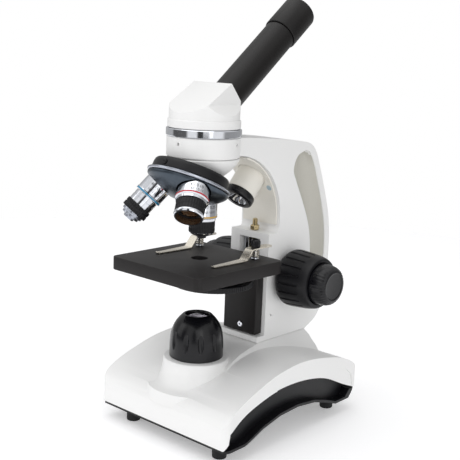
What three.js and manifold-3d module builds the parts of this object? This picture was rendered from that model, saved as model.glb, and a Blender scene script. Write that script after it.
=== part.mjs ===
// Student compound microscope with a turning monocular head, a tilted triple nosepiece,
// a rack-focused stage and two lamps. Millimetres, +Z up, front towards -Y.
import * as THREE from "three";
import { mergeVertices } from "three/addons/utils/BufferGeometryUtils.js";
import Module from "manifold-3d";

const wasm = await Module();
wasm.setup();

// ---- Driving dimensions -------------------------------------------------------------
const GAP = 0.3; // clearance between neighbouring pieces
const AXIS_Y = -42.4; // optical axis, measured from the middle of the footprint

// Base
const BASE = {
  frontHalf: 66, rearHalf: 60.6, front: -37.5, rear: 129.6, corner: 7, wall: 3,
  footHeight: 11, footRadius: 5.8,
};
const FEET = {
  front_left: [-43.5, -22.5], front_right: [48, -22.5], rear_left: [-43, 112], rear_right: [43, 112],
};
const BOSS = { radius: 25, top: 58.8 };

const SWITCH = { y: 123.4, z: 30, tilt: 8 };

// Arm and its seats
const ARM = {
  half: 19.5, seam: 62.8, frontY: 56, saddleTop: 148, throatY: 17.5, throatZ: 160, throatR: 50.5,
};
const SLOT = { half: 10.4, bottom: 67.2, top: 143, depth: 91 };
const ROD = { x: 7, y: 62, radius: 2.4 };

// Head and eyepiece
const HEAD = {
  radius: 26.8, upperRadius: 25.6, seam: 209.2, bandBottom: 224.6, bandTop: 230.1, step: 236.7,
  ridgeY: 7.2, ridgeZ: 262.5, slopeDeg: 32.6, facetHalf: 18.8,
};
const TUBE = { angleDeg: 51, y: 18.5, z: 248.7, radius: 12.4, bore: 11.8, length: 79.4 };
const EYEPIECE = { radius: 13.6, length: 29.8, sleeve: 11.6, sleeveBore: 10.2, insertion: 30 };

// Nosepiece: every objective axis meets the turret axis at the apex
const APEX = { y: 1.2, z: 225.2 };
const NOSE = { tiltDeg: 24.5, ring: 36.2, radius: 31.2, seat: 47.2 };

// Stage and focusing
const STAGE = {
  half: 45, front: -47.2, rear: 43.6, top: 134.1, thickness: 9.8, corner: 5, hole: 6.2,
};
const BRACKET = { half: 16.6, front: 47.5, back: 55.6, bottom: 68.4, slideBack: 70.5 };
const KNOB = { y: 80.7, z: 111.9, inner: 22.6, coarse: 22.5, coarseEnd: 53, fine: 16.2, end: 65.8,
  grooves: 20 };
const PINION = { teeth: 14, pitchRadius: 5, half: 3.2 };
const DIAPHRAGM = { radius: 31, y: 15, bottom: 112, top: 116.4, holes: 6 };
const CLIP = { x: 28.5, y: 29.5, tip: -16.8, tail: 46.6, lift: 142.2, width: 7.6 };

// Lamps
const ILLUMINATOR = { radius: 20.3, rim: 10.6, base: 59.1, top: 91.4, flutes: 11 };
const LAMP = { y: 38.5, z: 174.5, angleDeg: 42, radius: 11.5, bezel: 12.3 };

const deg = THREE.MathUtils.degToRad;

// ---- Materials ----------------------------------------------------------------------
function finish(color, roughness, metalness, extra = {}) {
  return new THREE.MeshStandardMaterial({ color, roughness, metalness, ...extra });
}
const WHITE = finish(0xe9e9ea, 0.42, 0.0);
const BLACK = finish(0x1d1d21, 0.5, 0.0);
const TEXTURED_BLACK = finish(0x2c2c30, 0.65, 0.0);
const RUBBER = finish(0x17171a, 0.85, 0.0);
const CHROME = finish(0xc9ccd2, 0.12, 1.0);
const STEEL = finish(0x9a9da2, 0.35, 1.0);
const BRASS = finish(0xb59b63, 0.35, 1.0);
const GLASS = finish(0xcfd9dc, 0.05, 0.0, { transparent: true, opacity: 0.35 });
const BOARD = finish(0x2f5a3c, 0.6, 0.0);
const RED = finish(0xb3202c, 0.35, 0.0);
const YELLOW = finish(0xc9a04a, 0.35, 0.0);
const BLUE = finish(0x1c6a92, 0.35, 0.0);

// ---- Solids -------------------------------------------------------------------------
// A closed geometry as a solid: shared corners are merged and collapsed faces dropped.
function solid(geometry) {
  const bare = geometry.index ? geometry.toNonIndexed() : geometry.clone();
  bare.deleteAttribute("normal");
  bare.deleteAttribute("uv");
  const merged = mergeVertices(bare, 1e-4);
  const p = merged.attributes.position.array;
  const index = Array.from(merged.index.array);
  const tris = [];
  let volume = 0;
  for (let i = 0; i < index.length; i += 3) {
    const [a, b, c] = index.slice(i, i + 3);
    if (a === b || b === c || a === c) continue;
    tris.push(a, b, c);
    const [u, v, w] = [a, b, c].map((k) => new THREE.Vector3().fromArray(p, 3 * k));
    volume += u.dot(v.cross(w));
  }
  if (volume < 0) tris.reverse();
  return new wasm.Manifold(new wasm.Mesh({
    numProp: 3, vertProperties: new Float32Array(p), triVerts: new Uint32Array(tris),
  }));
}

function cut(body, ...tools) {
  return tools.reduce((left, tool) => left.subtract(tool), body);
}

function join(...bodies) {
  return bodies.reduce((left, right) => left.add(right));
}

function toShape(points) {
  return new THREE.Shape(points.map(([a, b]) => new THREE.Vector2(a, b)));
}

function extrude(points, depth) {
  return new THREE.ExtrudeGeometry(toShape(points), { depth, bevelEnabled: false });
}

// An outline in Y and Z, extruded along X.
function alongX(points, x0, x1) {
  const toYZ = new THREE.Matrix4().makeBasis(
    new THREE.Vector3(0, 1, 0), new THREE.Vector3(0, 0, 1), new THREE.Vector3(1, 0, 0));
  return solid(extrude(points, x1 - x0).applyMatrix4(toYZ).translate(x0, 0, 0));
}

// An outline in X and Z, extruded along Y.
function alongY(points, y0, y1) {
  return solid(extrude(points, y1 - y0).rotateX(Math.PI / 2).translate(0, y1, 0));
}

// An outline in X and Y, extruded along Z.
function alongZ(points, z0, z1) {
  return solid(extrude(points, z1 - z0).translate(0, 0, z0));
}

function box(x0, x1, y0, y1, z0, z1) {
  const geometry = new THREE.BoxGeometry(x1 - x0, y1 - y0, z1 - z0);
  return solid(geometry.translate((x0 + x1) / 2, (y0 + y1) / 2, (z0 + z1) / 2));
}

// A profile of [radius, height] pairs turned about Z.
function turned(profile, segments = 24) {
  const points = profile.map(([r, z]) => new THREE.Vector2(r, z));
  return solid(new THREE.LatheGeometry(points, segments).rotateX(Math.PI / 2));
}

function rod(radius, z0, z1, segments = 20) {
  return turned([[0, z0], [radius, z0], [radius, z1], [0, z1]], segments);
}

function ring(inner, outer, z0, z1, segments = 24) {
  return turned([[inner, z0], [outer, z0], [outer, z1], [inner, z1], [inner, z0]], segments);
}

// The same solid with its Z axis laid along X, its height becoming the X place.
function layAlongX(body) {
  return body.rotate([0, 90, 0]);
}

function roundedRect(x0, x1, y0, y1, radius, steps = 4) {
  const centres = [[x1 - radius, y1 - radius, 0], [x0 + radius, y1 - radius, 90],
    [x0 + radius, y0 + radius, 180], [x1 - radius, y0 + radius, 270]];
  return centres.flatMap(([cx, cy, start]) => arc(cx, cy, radius, start, start + 90, steps));
}

function arc(cx, cy, radius, startDeg, endDeg, steps) {
  const points = [];
  for (let i = 0; i <= steps; i += 1) {
    const a = deg(startDeg + ((endDeg - startDeg) * i) / steps);
    points.push([cx + radius * Math.cos(a), cy + radius * Math.sin(a)]);
  }
  return points;
}

// Points along a smooth curve through a few given places.
function smooth(places, steps) {
  const curve = new THREE.SplineCurve(places.map(([a, b]) => new THREE.Vector2(a, b)));
  return curve.getPoints(steps).map((p) => [p.x, p.y]);
}

function around(count, make) {
  return Array.from({ length: count }, (_, i) => make((360 * i) / count, i));
}

function piece(group, name, body, material) {
  const { vertProperties, triVerts } = body.getMesh();
  const geometry = new THREE.BufferGeometry();
  geometry.setAttribute("position", new THREE.BufferAttribute(new Float32Array(vertProperties), 3));
  geometry.setIndex(new THREE.BufferAttribute(new Uint32Array(triVerts), 1));
  geometry.computeVertexNormals();
  const mesh = new THREE.Mesh(geometry, material);
  mesh.name = name;
  group.add(mesh);
}

function subgroup(parent, place = [0, 0, 0], turn = [0, 0, 0], order = "XYZ") {
  const group = new THREE.Group();
  group.position.set(...place);
  group.rotation.set(...turn.map(deg), order);
  parent.add(group);
  return group;
}

// ---- Base ---------------------------------------------------------------------------
// Plan outline of the base, drawn in from its edge by an inset.
function basePlan(inset, z0, z1) {
  const front = BASE.frontHalf - inset;
  const rear = BASE.rearHalf - inset;
  const y0 = BASE.front + inset;
  const y1 = BASE.rear - inset;
  const r = BASE.corner;
  return alongZ([
    ...arc(-front + r, y0 + r, r, 180, 270, 3), ...arc(front - r, y0 + r, r, 270, 360, 3),
    ...arc(rear - r, y1 - r, r, 0, 90, 3), ...arc(-rear + r, y1 - r, r, 90, 180, 3),
  ], z0, z1);
}

const BACK_LINE = [[-37.4, 24], [-35.5, 31.5], [-30, 37.5], [-20, 43.4], [-3, 49.6], [18, 55.4],
  [42, 58.2], [62, 57.4], [82, 54.2], [100, 50], [114, 45], [124, 38.8], [129, 30.5]];
const ARCH_LINE = [[125, 19], [109.6, 25.1], [85.7, 35.9], [66, 41], [43, 43.6], [18, 43],
  [-6, 38], [-20, 32.8], [-31.6, 25.4]];
const FLOOR_LINE = [[125.8, 18.2], [118.5, 11], [100, 11], [87, 15.6], [70, 20.6], [48, 23.2],
  [26, 22.2], [6, 18], [-8, 12.8], [-14, 11], [-35, 11]];

function shellOutline(inset) {
  const top = smooth(BACK_LINE, 13).map(([y, z]) => [y, z - inset]);
  return [[BASE.front + 1.2 + inset, 13.4], [BASE.front + inset, 19], ...top,
    [BASE.rear - inset, 28], [BASE.rear - 4 - inset, 19]];
}

function baseShell() {
  const outer = alongX(shellOutline(0), -70, 70).intersect(basePlan(0, 0, 80));
  const inner = alongX([[BASE.front + 1.2 + BASE.wall, 0], ...shellOutline(BASE.wall),
    [BASE.rear - 4 - BASE.wall, 0]], -70, 70).intersect(basePlan(BASE.wall, -5, 80));
  const arch = alongX([...smooth(ARCH_LINE, 10), [-32.6, 18], [-36, 13], [-36, 0], [135, 0],
    [135, 19]], -80, 80);
  const boss = turned([[0, 30], [BOSS.radius + 2, 30], [BOSS.radius, 46],
    [BOSS.radius - 2, BOSS.top], [0, BOSS.top]], 26);
  const bossHollow = turned([[0, 0], [BOSS.radius - 5, 0], [BOSS.radius - 5, 52], [0, 52]], 24);
  const ledHole = rod(6.5, 50, 60, 24);
  const spine = alongX([[-4, 46], [6, 53.4], [26, 58.4], [44, 61], [49, ARM.seam - GAP],
    [107.5, ARM.seam - GAP], [112.5, 45], [100, 40]], -30, 30);
  const ridge = alongY([[-26, 40], [26, 40], [25, 54], [ARM.half, ARM.seam], [ARM.half, 70],
    [-ARM.half, 70], [-ARM.half, ARM.seam], [-25, 54]], -10, 120);
  const pedestal = spine.intersect(ridge);
  const inletHole = box(-21, -9, 110, 135, 26, 33);
  const switchHole = box(-4.5, 15.5, 110, 135, 23.6, 36.4);
  return cut(join(outer, boss, pedestal), cut(inner, box(-80, 80, -10, 113, 54, 90)), bossHollow,
    ledHole, arch, inletHole, switchHole);
}

// The under-tray: a floor that follows the arch, with upright walls and a lip all round.
function baseTray() {
  const walls = alongX([...smooth(ARCH_LINE, 10).map(([y, z]) => [y, z + 1.8]),
    ...[...FLOOR_LINE].reverse()], -70, 70).intersect(basePlan(7.5, 0, 80));
  const hollow = alongX([...smooth(ARCH_LINE, 10).map(([y, z]) => [y, z + 6]),
    ...[...FLOOR_LINE].reverse().map(([y, z]) => [y, z + 2.5])], -70, 70)
    .intersect(basePlan(10, 0, 80));
  const lipTop = FLOOR_LINE.slice(2).map(([y, z]) => [y, z + 2.1]);
  const lip = alongX([[125.6, 18.6], [119, 18.4], [113, 13.1], ...lipTop,
    ...[...FLOOR_LINE].reverse().slice(0, -1)], -70, 70).intersect(basePlan(0.6, 0, 80));
  return cut(join(walls, lip), hollow);
}

function foot() {
  return turned([[0, 0], [4.7, 0], [5.3, 0.8], [BASE.footRadius, BASE.footHeight - GAP],
    [0, BASE.footHeight - GAP]], 16);
}

function addBase(stand) {
  piece(stand, "base_shell", baseShell(), WHITE);
  piece(stand, "base_tray", baseTray(), BLACK);
  for (const [corner, [x, y]] of Object.entries(FEET)) {
    piece(stand, `foot_${corner}`, foot().translate([x, y, 0]), RUBBER);
  }
  const rocker = alongX([...arc(0, 0, 7.2, -52, -46, 1), [6, 0], ...arc(0, 0, 7.2, 46, 52, 1),
    [1, 3.2], [-1.6, 0], [1, -3.2]], -3.9, 14.9).rotate([SWITCH.tilt, 0, 0])
    .translate([0, SWITCH.y, SWITCH.z]);
  piece(stand, "power_switch", rocker, BLACK);
  piece(stand, "power_inlet", cut(box(-20.7, -9.3, 115, 130, 26.3, 32.7),
    rod(2.4, 0, 12, 14).rotate([90, 0, 0]).translate([-15, 131, 29.5])), BLACK);
}

// ---- Arm ----------------------------------------------------------------------------
const ARM_BACK = [[0, 224.2], [30, 223.4], [70, 220.4], [92, 218], [103, 215.4], [110, 209],
  [116.5, 195.5], [124.8, 175.2], [130.8, 157.8], [134, 140], [134.8, 120], [133.6, 100],
  [129.5, 82], [121.5, 70], [108, ARM.seam]];

function armOutline() {
  return [[ARM.frontY, ARM.seam], [108, ARM.seam], ...smooth([...ARM_BACK].reverse(), 18).slice(1),
    [0, 224.2], [0, ARM.throatZ + ARM.throatR],
    ...arc(ARM.throatY, ARM.throatZ, ARM.throatR, 90, 6, 12),
    ...arc(ARM.throatY + ARM.throatR - 3, 151, 3, 0, -90, 3),
    [ARM.frontY, ARM.saddleTop]];
}

// The finger recess behind each side face, a crescent that runs into the rear rim.
function gripRecess() {
  return alongX([...smooth([[96, 211], [86, 206.5], [82, 196], [86.5, 186], [95.5, 170],
    [103.3, 154], [107.6, 139], [109, 122], [108, 104]], 11),
    ...smooth([[124, 96], [128, 120], [127.6, 140], [124, 158], [117, 178], [108, 200],
      [101, 210]], 8)], 0, 6);
}

function arm() {
  const body = alongX(armOutline(), -ARM.half, ARM.half);
  const collar = rod(HEAD.radius, HEAD.seam + GAP, HEAD.bandBottom - GAP, 30);
  const toe = box(-ARM.half, ARM.half, 47, ARM.frontY + 1, ARM.seam, 67.2);
  const slot = box(-SLOT.half, SLOT.half, ARM.frontY - 1, SLOT.depth, SLOT.bottom, SLOT.top);
  const lightPath = rod(11, 200, 230, 24);
  const shaftHole = layAlongX(rod(4.9, -40, 40, 24)).translate([0, KNOB.y, KNOB.z]);
  const recess = gripRecess();
  return cut(join(body, collar, toe), slot, lightPath, shaftHole,
    recess.translate([ARM.half - 4.5, 0, 0]), recess.mirror([1, 0, 0]).translate([-ARM.half + 4.5, 0, 0]),
    rod(2.4, SLOT.top - 1, ARM.saddleTop + 1, 16).translate([0, 61.5, 0]));
}

// The bowl under the head, cut off square to the turret axis.
function nosepieceMount() {
  const bowl = turned([[0, 190], [8, 191.5], [14.5, 195.2], [20.5, 200], [24.8, 204.8],
    [26.6, HEAD.seam], [0, HEAD.seam]], 32);
  const below = box(-60, 60, -80, 80, -120, -NOSE.ring + 9.4)
    .rotate([-NOSE.tiltDeg, 0, 0]).translate([0, APEX.y, APEX.z]);
  return cut(bowl, below, rod(9.5, 180, 215, 24));
}

function throatCover() {
  const outer = ARM.throatR - GAP;
  const inner = ARM.throatR - 1.6;
  const { throatY, throatZ } = ARM;
  return alongX([...arc(throatY, throatZ, outer, 76, 6, 10), [throatY + outer, 154],
    [throatY + inner, 154], ...arc(throatY, throatZ, inner, 6, 76, 10)], -ARM.half + 2.6,
  ARM.half - 2.6);
}

function addArm(stand) {
  piece(stand, "arm", arm(), WHITE);
  piece(stand, "nosepiece_mount", nosepieceMount(), WHITE);
  piece(stand, "throat_cover", cut(throatCover(), lampFrameSolid(
    rod(LAMP.radius + GAP, 0, 60, 32))), WHITE);
  piece(stand, "head_band", ring(17, 27.4, HEAD.bandBottom, HEAD.bandTop, 36), CHROME);
  for (const [side, sign] of [["left", -1], ["right", 1]]) {
    piece(stand, `guide_rod_${side}`, rod(ROD.radius, SLOT.bottom + GAP, SLOT.top - GAP, 16)
      .translate([sign * ROD.x, ROD.y, 0]), CHROME);
  }
  piece(stand, "stage_stop_screw", join(rod(2.1, 129.6, 156.8, 14),
    rod(1.7, 156.5, 157.4, 14)).translate([0, 61.5, 0]), BRASS);
  piece(stand, "stage_stop_nut", cut(rod(3.7, ARM.saddleTop + GAP, ARM.saddleTop + 4, 6),
    rod(2.5, 140, 160, 16)).translate([0, 61.5, 0]), BRASS);
}

// ---- Lamps --------------------------------------------------------------------------
function lampFrameSolid(body) {
  return body.rotate([-LAMP.angleDeg, 0, 0]).translate([0, LAMP.y, LAMP.z]);
}

function addUpperLamp(stand) {
  const lamp = subgroup(stand, [0, LAMP.y, LAMP.z], [-LAMP.angleDeg, 0, 0]);
  const throat = layAlongX(rod(ARM.throatR - GAP, -30, 30, 48))
    .translate([0, ARM.throatY, ARM.throatZ]);
  const inLampFrame = throat.translate([0, -LAMP.y, -LAMP.z]).rotate([LAMP.angleDeg, 0, 0]);
  const housing = ring(8.5, LAMP.radius, 6, 40, 32).intersect(inLampFrame);
  piece(lamp, "upper_lamp_housing", housing, WHITE);
  piece(lamp, "upper_lamp_bezel", turned([[8.2, 0], [11.2, 0], [LAMP.bezel, 1.2],
    [LAMP.bezel, 5.7], [8.2, 5.7], [8.2, 0]], 28), BLACK);
  piece(lamp, "upper_lamp_reflector", turned([[2.6, 6.2], [3.2, 6.2], [7.9, 1], [7.9, 1.8],
    [3.6, 8.2], [2.6, 8.2], [2.6, 6.2]], 18), CHROME);
  piece(lamp, "upper_lamp_led", turned([[0, 4.6], [1.6, 5.2], [2.2, 7], [2.2, 8.6], [7, 8.6],
    [7, 10], [0, 10]], 20), GLASS);
}

function illuminatorProfile(inset) {
  const rise = ILLUMINATOR.top - ILLUMINATOR.base;
  return [0, 0.3, 0.5, 0.65, 0.78, 0.89, 1].map((t) => [
    ILLUMINATOR.radius - (ILLUMINATOR.radius - ILLUMINATOR.rim) * t ** 4 - inset,
    ILLUMINATOR.base + rise * t,
  ]);
}

function addIlluminator(stand) {
  const outer = turned([[0, ILLUMINATOR.base], ...illuminatorProfile(0), [0, ILLUMINATOR.top]], 33);
  const bore = turned([[0, 50], [17, 50], [17, 66], [15, 78], [8.8, 86], [8.8, 95], [0, 95]], 20);
  const flutes = around(ILLUMINATOR.flutes, (angle) => solid(
    new THREE.SphereGeometry(1, 6, 4).scale(1.4, 8, 2)).rotate([90, 0, 0]).rotate([0, -6, 0])
    .translate([19.9, 0, 73.6]).rotate([0, 0, angle - 3.9]));
  piece(stand, "illuminator_cap", cut(outer, bore, ...flutes), BLACK);
  piece(stand, "illuminator_lens", turned([[0, 86.4], [8.4, 86.4], [8.4, 88.6], [6.6, 89.9],
    [3.6, 90.9], [0, 91.2]], 28), GLASS);
  piece(stand, "illuminator_led", turned([[0, 59.2], [14, 59.2], [14, 61], [3.2, 61],
    [3.2, 64], [2, 65.6], [0, 66.2]], 20), BOARD);
}

// ---- Head ---------------------------------------------------------------------------
function upperHead() {
  const collar = rod(26.5, HEAD.bandTop + GAP, HEAD.step, 30);
  const post = rod(HEAD.upperRadius, HEAD.bandTop + GAP, 275, 30);
  const tan = Math.tan(deg(HEAD.slopeDeg));
  const back = TUBE.angleDeg;
  const backDrop = Math.tan(deg(back)) * 40;
  const roof = alongX([[HEAD.ridgeY - 60, HEAD.ridgeZ - 60 * tan], [HEAD.ridgeY - 60, 220],
    [HEAD.ridgeY + 40, 205], [HEAD.ridgeY + 40, HEAD.ridgeZ - backDrop],
    [HEAD.ridgeY, HEAD.ridgeZ]], -40, 40);
  const waist = alongY([[-40, 220], [40, 220], [26.5, 239], [HEAD.facetHalf + 0.3, 247.5],
    [HEAD.facetHalf - 0.5, 280], [-HEAD.facetHalf + 0.5, 280], [-HEAD.facetHalf - 0.3, 247.5],
    [-26.5, 239]], -40, 40);
  const tubeBore = rod(TUBE.bore, -10, 30, 32).rotate([-TUBE.angleDeg, 0, 0])
    .translate([0, TUBE.y, TUBE.z]);
  const prismRoom = box(-9.5, 9.5, -9.5, 9.5, 233, 251);
  const lightPath = rod(9, 220, 235, 24);
  return cut(join(collar, post.intersect(roof).intersect(waist)), tubeBore, prismRoom, lightPath);
}

function addHead(root) {
  const head = subgroup(root);
  piece(head, "upper_head", upperHead(), WHITE);
  piece(head, "prism", alongX([[-8, 235.6], [8, 235.6], [8, 244], [-2, 250], [-8, 247]], -8, 8), GLASS);
  const tube = subgroup(head, [0, TUBE.y, TUBE.z], [-TUBE.angleDeg, 0, 0]);
  piece(tube, "eyetube", ring(TUBE.bore + 0.1, TUBE.radius, GAP, TUBE.length - 0.6, 32), TEXTURED_BLACK);
  const e = TUBE.length;
  const end = e + EYEPIECE.length;
  const { radius, sleeve, sleeveBore, insertion } = EYEPIECE;
  piece(tube, "eyepiece", turned([[8, end - 6], [11, end - 2.4], [11, end], [12.6, end],
    [radius, end - 1.2], [radius, e + 0.8], [radius - 0.8, e], [sleeve, e],
    [sleeve, e - insertion], [sleeveBore, e - insertion], [sleeveBore, e + 8], [8, e + 14],
    [8, end - 6]], 24), TEXTURED_BLACK);
  piece(tube, "eye_lens", turned([[0, end - 13], [7.6, end - 11], [7.6, end - 8.5], [0, end - 6.5]], 24), GLASS);
}

// ---- Nosepiece and objectives -------------------------------------------------------
function dish() {
  const r = -NOSE.ring;
  const body = turned([[0, r - 1.6], [30.4, r - 1.6], [30.2, r - 3.1], [28.6, r - 5.2],
    [22, r - 9.8], [12, r - 13.6], [0, r - 14.8]], 32);
  const seats = around(3, (angle) => rod(12.3, -90, -NOSE.seat, 24)
    .rotate([NOSE.tiltDeg, 0, 0]).rotate([0, 0, angle]));
  const bores = around(3, (angle) => rod(8.2, -80, -20, 20)
    .rotate([NOSE.tiltDeg, 0, 0]).rotate([0, 0, angle]));
  return cut(body, ...seats, ...bores);
}

function knurled(inner, outer, z0, z1, count) {
  const points = around(count * 2, (angle, i) => {
    const r = i % 2 ? outer : outer - 0.5;
    return [r * Math.cos(deg(angle)), r * Math.sin(deg(angle))];
  });
  return cut(alongZ(points, z0, z1), rod(inner, z0 - 1, z1 + 1, inner > 10 ? 32 : 14));
}

// Each objective's outside as radii and distances below its seat, its knurled grip and bore.
const OBJECTIVES = {
  objective_4x: { azimuth: -120, bore: 6.2, grip: [10.4, 12.8, 21.4],
    outline: [[11.3, 0.3], [11.3, 8.2], [11.9, 8.6], [11.9, 10.2], [10.9, 10.8], [10.8, 12.6],
      [9.9, 12.8], [9.9, 21.4], [10.6, 21.8], [10.6, 22.8], [9.9, 24]] },
  objective_10x: { azimuth: 0, bore: 2.4, grip: [9.7, 15.4, 24],
    outline: [[10.9, 0.3], [10.9, 10.8], [11.2, 11.2], [11.2, 12.8], [10.3, 13.4], [10.2, 15.2],
      [9.2, 15.4], [9.2, 24.4], [8.2, 25.6], [3.8, 27.4], [3.4, 28.6]] },
  objective_40x: { azimuth: 120, bore: 6.3, mouthRadius: 8.6, grip: [9.9, 22.2, 28.8],
    outline: [[10.3, 0.3], [10.3, 11.6], [10.7, 12], [10.7, 13.6], [9.2, 14], [9.2, 28.8]] },
};

// A frame at an objective's seat, its Z axis up along the objective.
function objectiveFrame(turret, azimuth) {
  const turn = new THREE.Euler(deg(NOSE.tiltDeg), 0, deg(azimuth), "ZXY");
  const seat = new THREE.Vector3(0, 0, -NOSE.seat).applyEuler(turn);
  return subgroup(turret, seat.toArray(), [NOSE.tiltDeg, 0, azimuth], "ZXY");
}

function objectiveBarrel({ bore, mouthRadius = bore, grip, outline }) {
  const tip = outline[outline.length - 1][1];
  const body = turned([[0, -outline[0][1]], ...outline.map(([r, d]) => [r, -d]), [0, -tip]], 20);
  const thread = rod(7.9, -1, 1.8, 16);
  const [radius, start, end] = grip;
  const mouth = rod(mouthRadius, -50, 2 - end, 16);
  return cut(join(body, thread, knurled(5, radius, -end, -start, 14)), rod(bore, -50, 20, 12),
    mouth);
}

function addNosepiece(root) {
  const turret = subgroup(root, [0, APEX.y, APEX.z], [-NOSE.tiltDeg, 0, 0]);
  const top = -NOSE.ring;
  const disc = turned([[12, top + 1.6], [28.8, top + 1.6], [28.2, top + 7.6],
    [27.2, top + 9], [12, top + 9], [12, top + 1.6]], 36);
  const screwHole = rod(2.2, -6, 6, 12).rotate([90, 0, 0]).translate([0, -28, top + 4.4]);
  piece(turret, "nosepiece_disc", cut(disc, screwHole), BLACK);
  piece(turret, "nosepiece_ring", knurled(24, NOSE.radius, top - 1.3, top + 1.3, 36), CHROME);
  piece(turret, "nosepiece_dish", dish(), STEEL);
  piece(turret, "nosepiece_screw", join(rod(1.9, -2.4, 0.8, 12), rod(1.2, -4, 0, 10))
    .rotate([90, 0, 0]).translate([0, -28.6, top + 4.4]), CHROME);
  const frames = {};
  for (const [name, spec] of Object.entries(OBJECTIVES)) {
    frames[name] = objectiveFrame(turret, spec.azimuth);
    piece(frames[name], `${name}_barrel`, objectiveBarrel(spec), CHROME);
  }
  piece(frames.objective_4x, "objective_4x_lens",
    turned([[0, -20.6], [5.8, -19.4], [5.8, -17.4], [0, -16.6]], 20), GLASS);
  piece(frames.objective_10x, "objective_10x_lens",
    turned([[0, -28.2], [2.1, -27.6], [2.1, -26.2], [0, -26.2]], 14), GLASS);
  piece(frames.objective_40x, "objective_40x_nose", turned([[1.7, -34.6], [4, -34.6],
    [4.4, -33.2], [6.8, -32.8], [7, -31.2], [8.3, -30.6], [8.3, -28.6], [6, -28.6], [6, -18],
    [4.6, -18], [4.6, -30], [1.7, -32.6], [1.7, -34.6]], 18), CHROME);
  piece(frames.objective_40x, "objective_40x_lens",
    turned([[0, -34.2], [1.4, -33.8], [1.4, -32.6], [0, -32.6]], 14), GLASS);
}

// ---- Stage --------------------------------------------------------------------------
function stagePlate() {
  const bottom = STAGE.top - STAGE.thickness;
  const s = STAGE;
  const plate = alongZ(roundedRect(-s.half, s.half, s.front, s.rear, s.corner), bottom, s.top);
  const bossUnder = rod(13, bottom - 4.6, bottom + 1, 24);
  const holes = [-1, 1].map((sign) => rod(2.2, 0, 200, 12).translate([sign * CLIP.x, CLIP.y, 0]));
  return cut(join(plate, bossUnder), rod(s.hole, 0, 200, 20), rod(9.2, 0, s.top - 3, 20), ...holes,
    rod(2.3, 0, s.top - 4, 16).translate([0, DIAPHRAGM.y, 0]));
}

// The angle under the stage, in one with the block that slides on the two rods.
function bracket() {
  const b = BRACKET;
  const top = STAGE.top - STAGE.thickness - GAP;
  const holes = [-1, 1].map((sign) => rod(ROD.radius + GAP, 0, 200, 16)
    .translate([sign * ROD.x, ROD.y, 0]));
  const slide = box(-SLOT.half + GAP, SLOT.half - GAP, b.back - 1, b.slideBack, 84, 121);
  return cut(join(box(-b.half, b.half, b.front, b.back, b.bottom, top), cut(slide, ...holes)),
    rod(2.6, 0, 15, 14).rotate([-90, 0, 0]).translate([1, 40, 74.2]));
}

function rack() {
  const pitch = (2 * Math.PI * PINION.pitchRadius) / PINION.teeth;
  const root = KNOB.y - PINION.pitchRadius - 0.9;
  const tip = KNOB.y - PINION.pitchRadius + 0.5;
  const points = [[root - 4, 74], [root, 74]];
  const lowest = KNOB.z - 15 * pitch;
  for (let i = 0; i < 25; i += 1) {
    const z = lowest + pitch * i;
    points.push([root, z - 0.5], [tip, z - 0.2], [tip, z + 0.2], [root, z + 0.5]);
  }
  points.push([root, 134.4], [root - 4, 134.4]);
  return alongX(points, -3, 3);
}

function diaphragm() {
  const d = DIAPHRAGM;
  const radii = [1.5, 2.5, 3.5, 4.5, 5.5, 6.2];
  const holes = around(d.holes, (angle, i) => rod(radii[i], 100, 130, 10)
    .translate([0, -d.y, 0]).rotate([0, 0, angle]));
  return cut(knurled(2.3, d.radius, d.bottom, d.top, 24), ...holes).translate([0, d.y, 0]);
}

// A spring clip: tail and post eye lifted above the stage, a slope, then the long finger.
function clipStrip() {
  const c = CLIP;
  const top = c.lift + 0.9;
  const low = STAGE.top + GAP;
  const side = [[c.tail, c.lift], [23.5, c.lift], [16.8, low], [c.tip, low],
    [c.tip, low + 0.9], [16.4, low + 0.9], [23.1, top], [c.tail, top]];
  const half = c.width / 2;
  const plan = [...arc(0, c.tail - half, half, 0, 180, 8), [-half, 17],
    ...arc(0, c.tip + 2.2, 2.2, 180, 360, 6), [half, 17]];
  return cut(alongX(side, -6, 6).intersect(alongZ(plan, 130, 150)),
    rod(2.3, 120, 160, 16).translate([0, c.y, 0]));
}

function addClip(stage, side, sign) {
  const c = CLIP;
  const place = [sign * c.x, c.y, 0];
  piece(stage, `clip_post_${side}`, join(rod(1.9, STAGE.top - 6, 148, 12),
    rod(3, STAGE.top + GAP, 135.2, 14)).translate(place), CHROME);
  piece(stage, `clip_spring_${side}`, ring(2.2, 3, 135.5, c.lift - GAP, 14).translate(place), STEEL);
  piece(stage, `clip_${side}`, clipStrip().translate([sign * c.x, 0, 0]), CHROME);
  piece(stage, `clip_knob_${side}`, knurled(2.2, 3.8, c.lift + 0.9 + GAP, 149.4, 10).translate(place), BLACK);
}

function addStage(root) {
  const stage = subgroup(root);
  piece(stage, "stage_plate", stagePlate(), TEXTURED_BLACK);
  piece(stage, "stage_bracket", bracket(), TEXTURED_BLACK);
  piece(stage, "focus_rack", rack(), BRASS);
  piece(stage, "bracket_screw", rod(2.3, -0.5, 7, 14).rotate([-90, 0, 0])
    .translate([1, BRACKET.front, 74.2]), CHROME);
  piece(stage, "condenser_lens", turned([[0, 121], [8.8, 121], [8.8, 124], [5, 126.6], [0, 127.4]], 24), GLASS);
  piece(stage, "diaphragm_disc", diaphragm(), BLACK);
  piece(stage, "diaphragm_pivot", join(rod(2, 111, 129.8, 16), rod(4.2, 109.6, 111.7, 16))
    .translate([0, DIAPHRAGM.y, 0]), CHROME);
  addClip(stage, "left", -1);
  addClip(stage, "right", 1);
}

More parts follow.
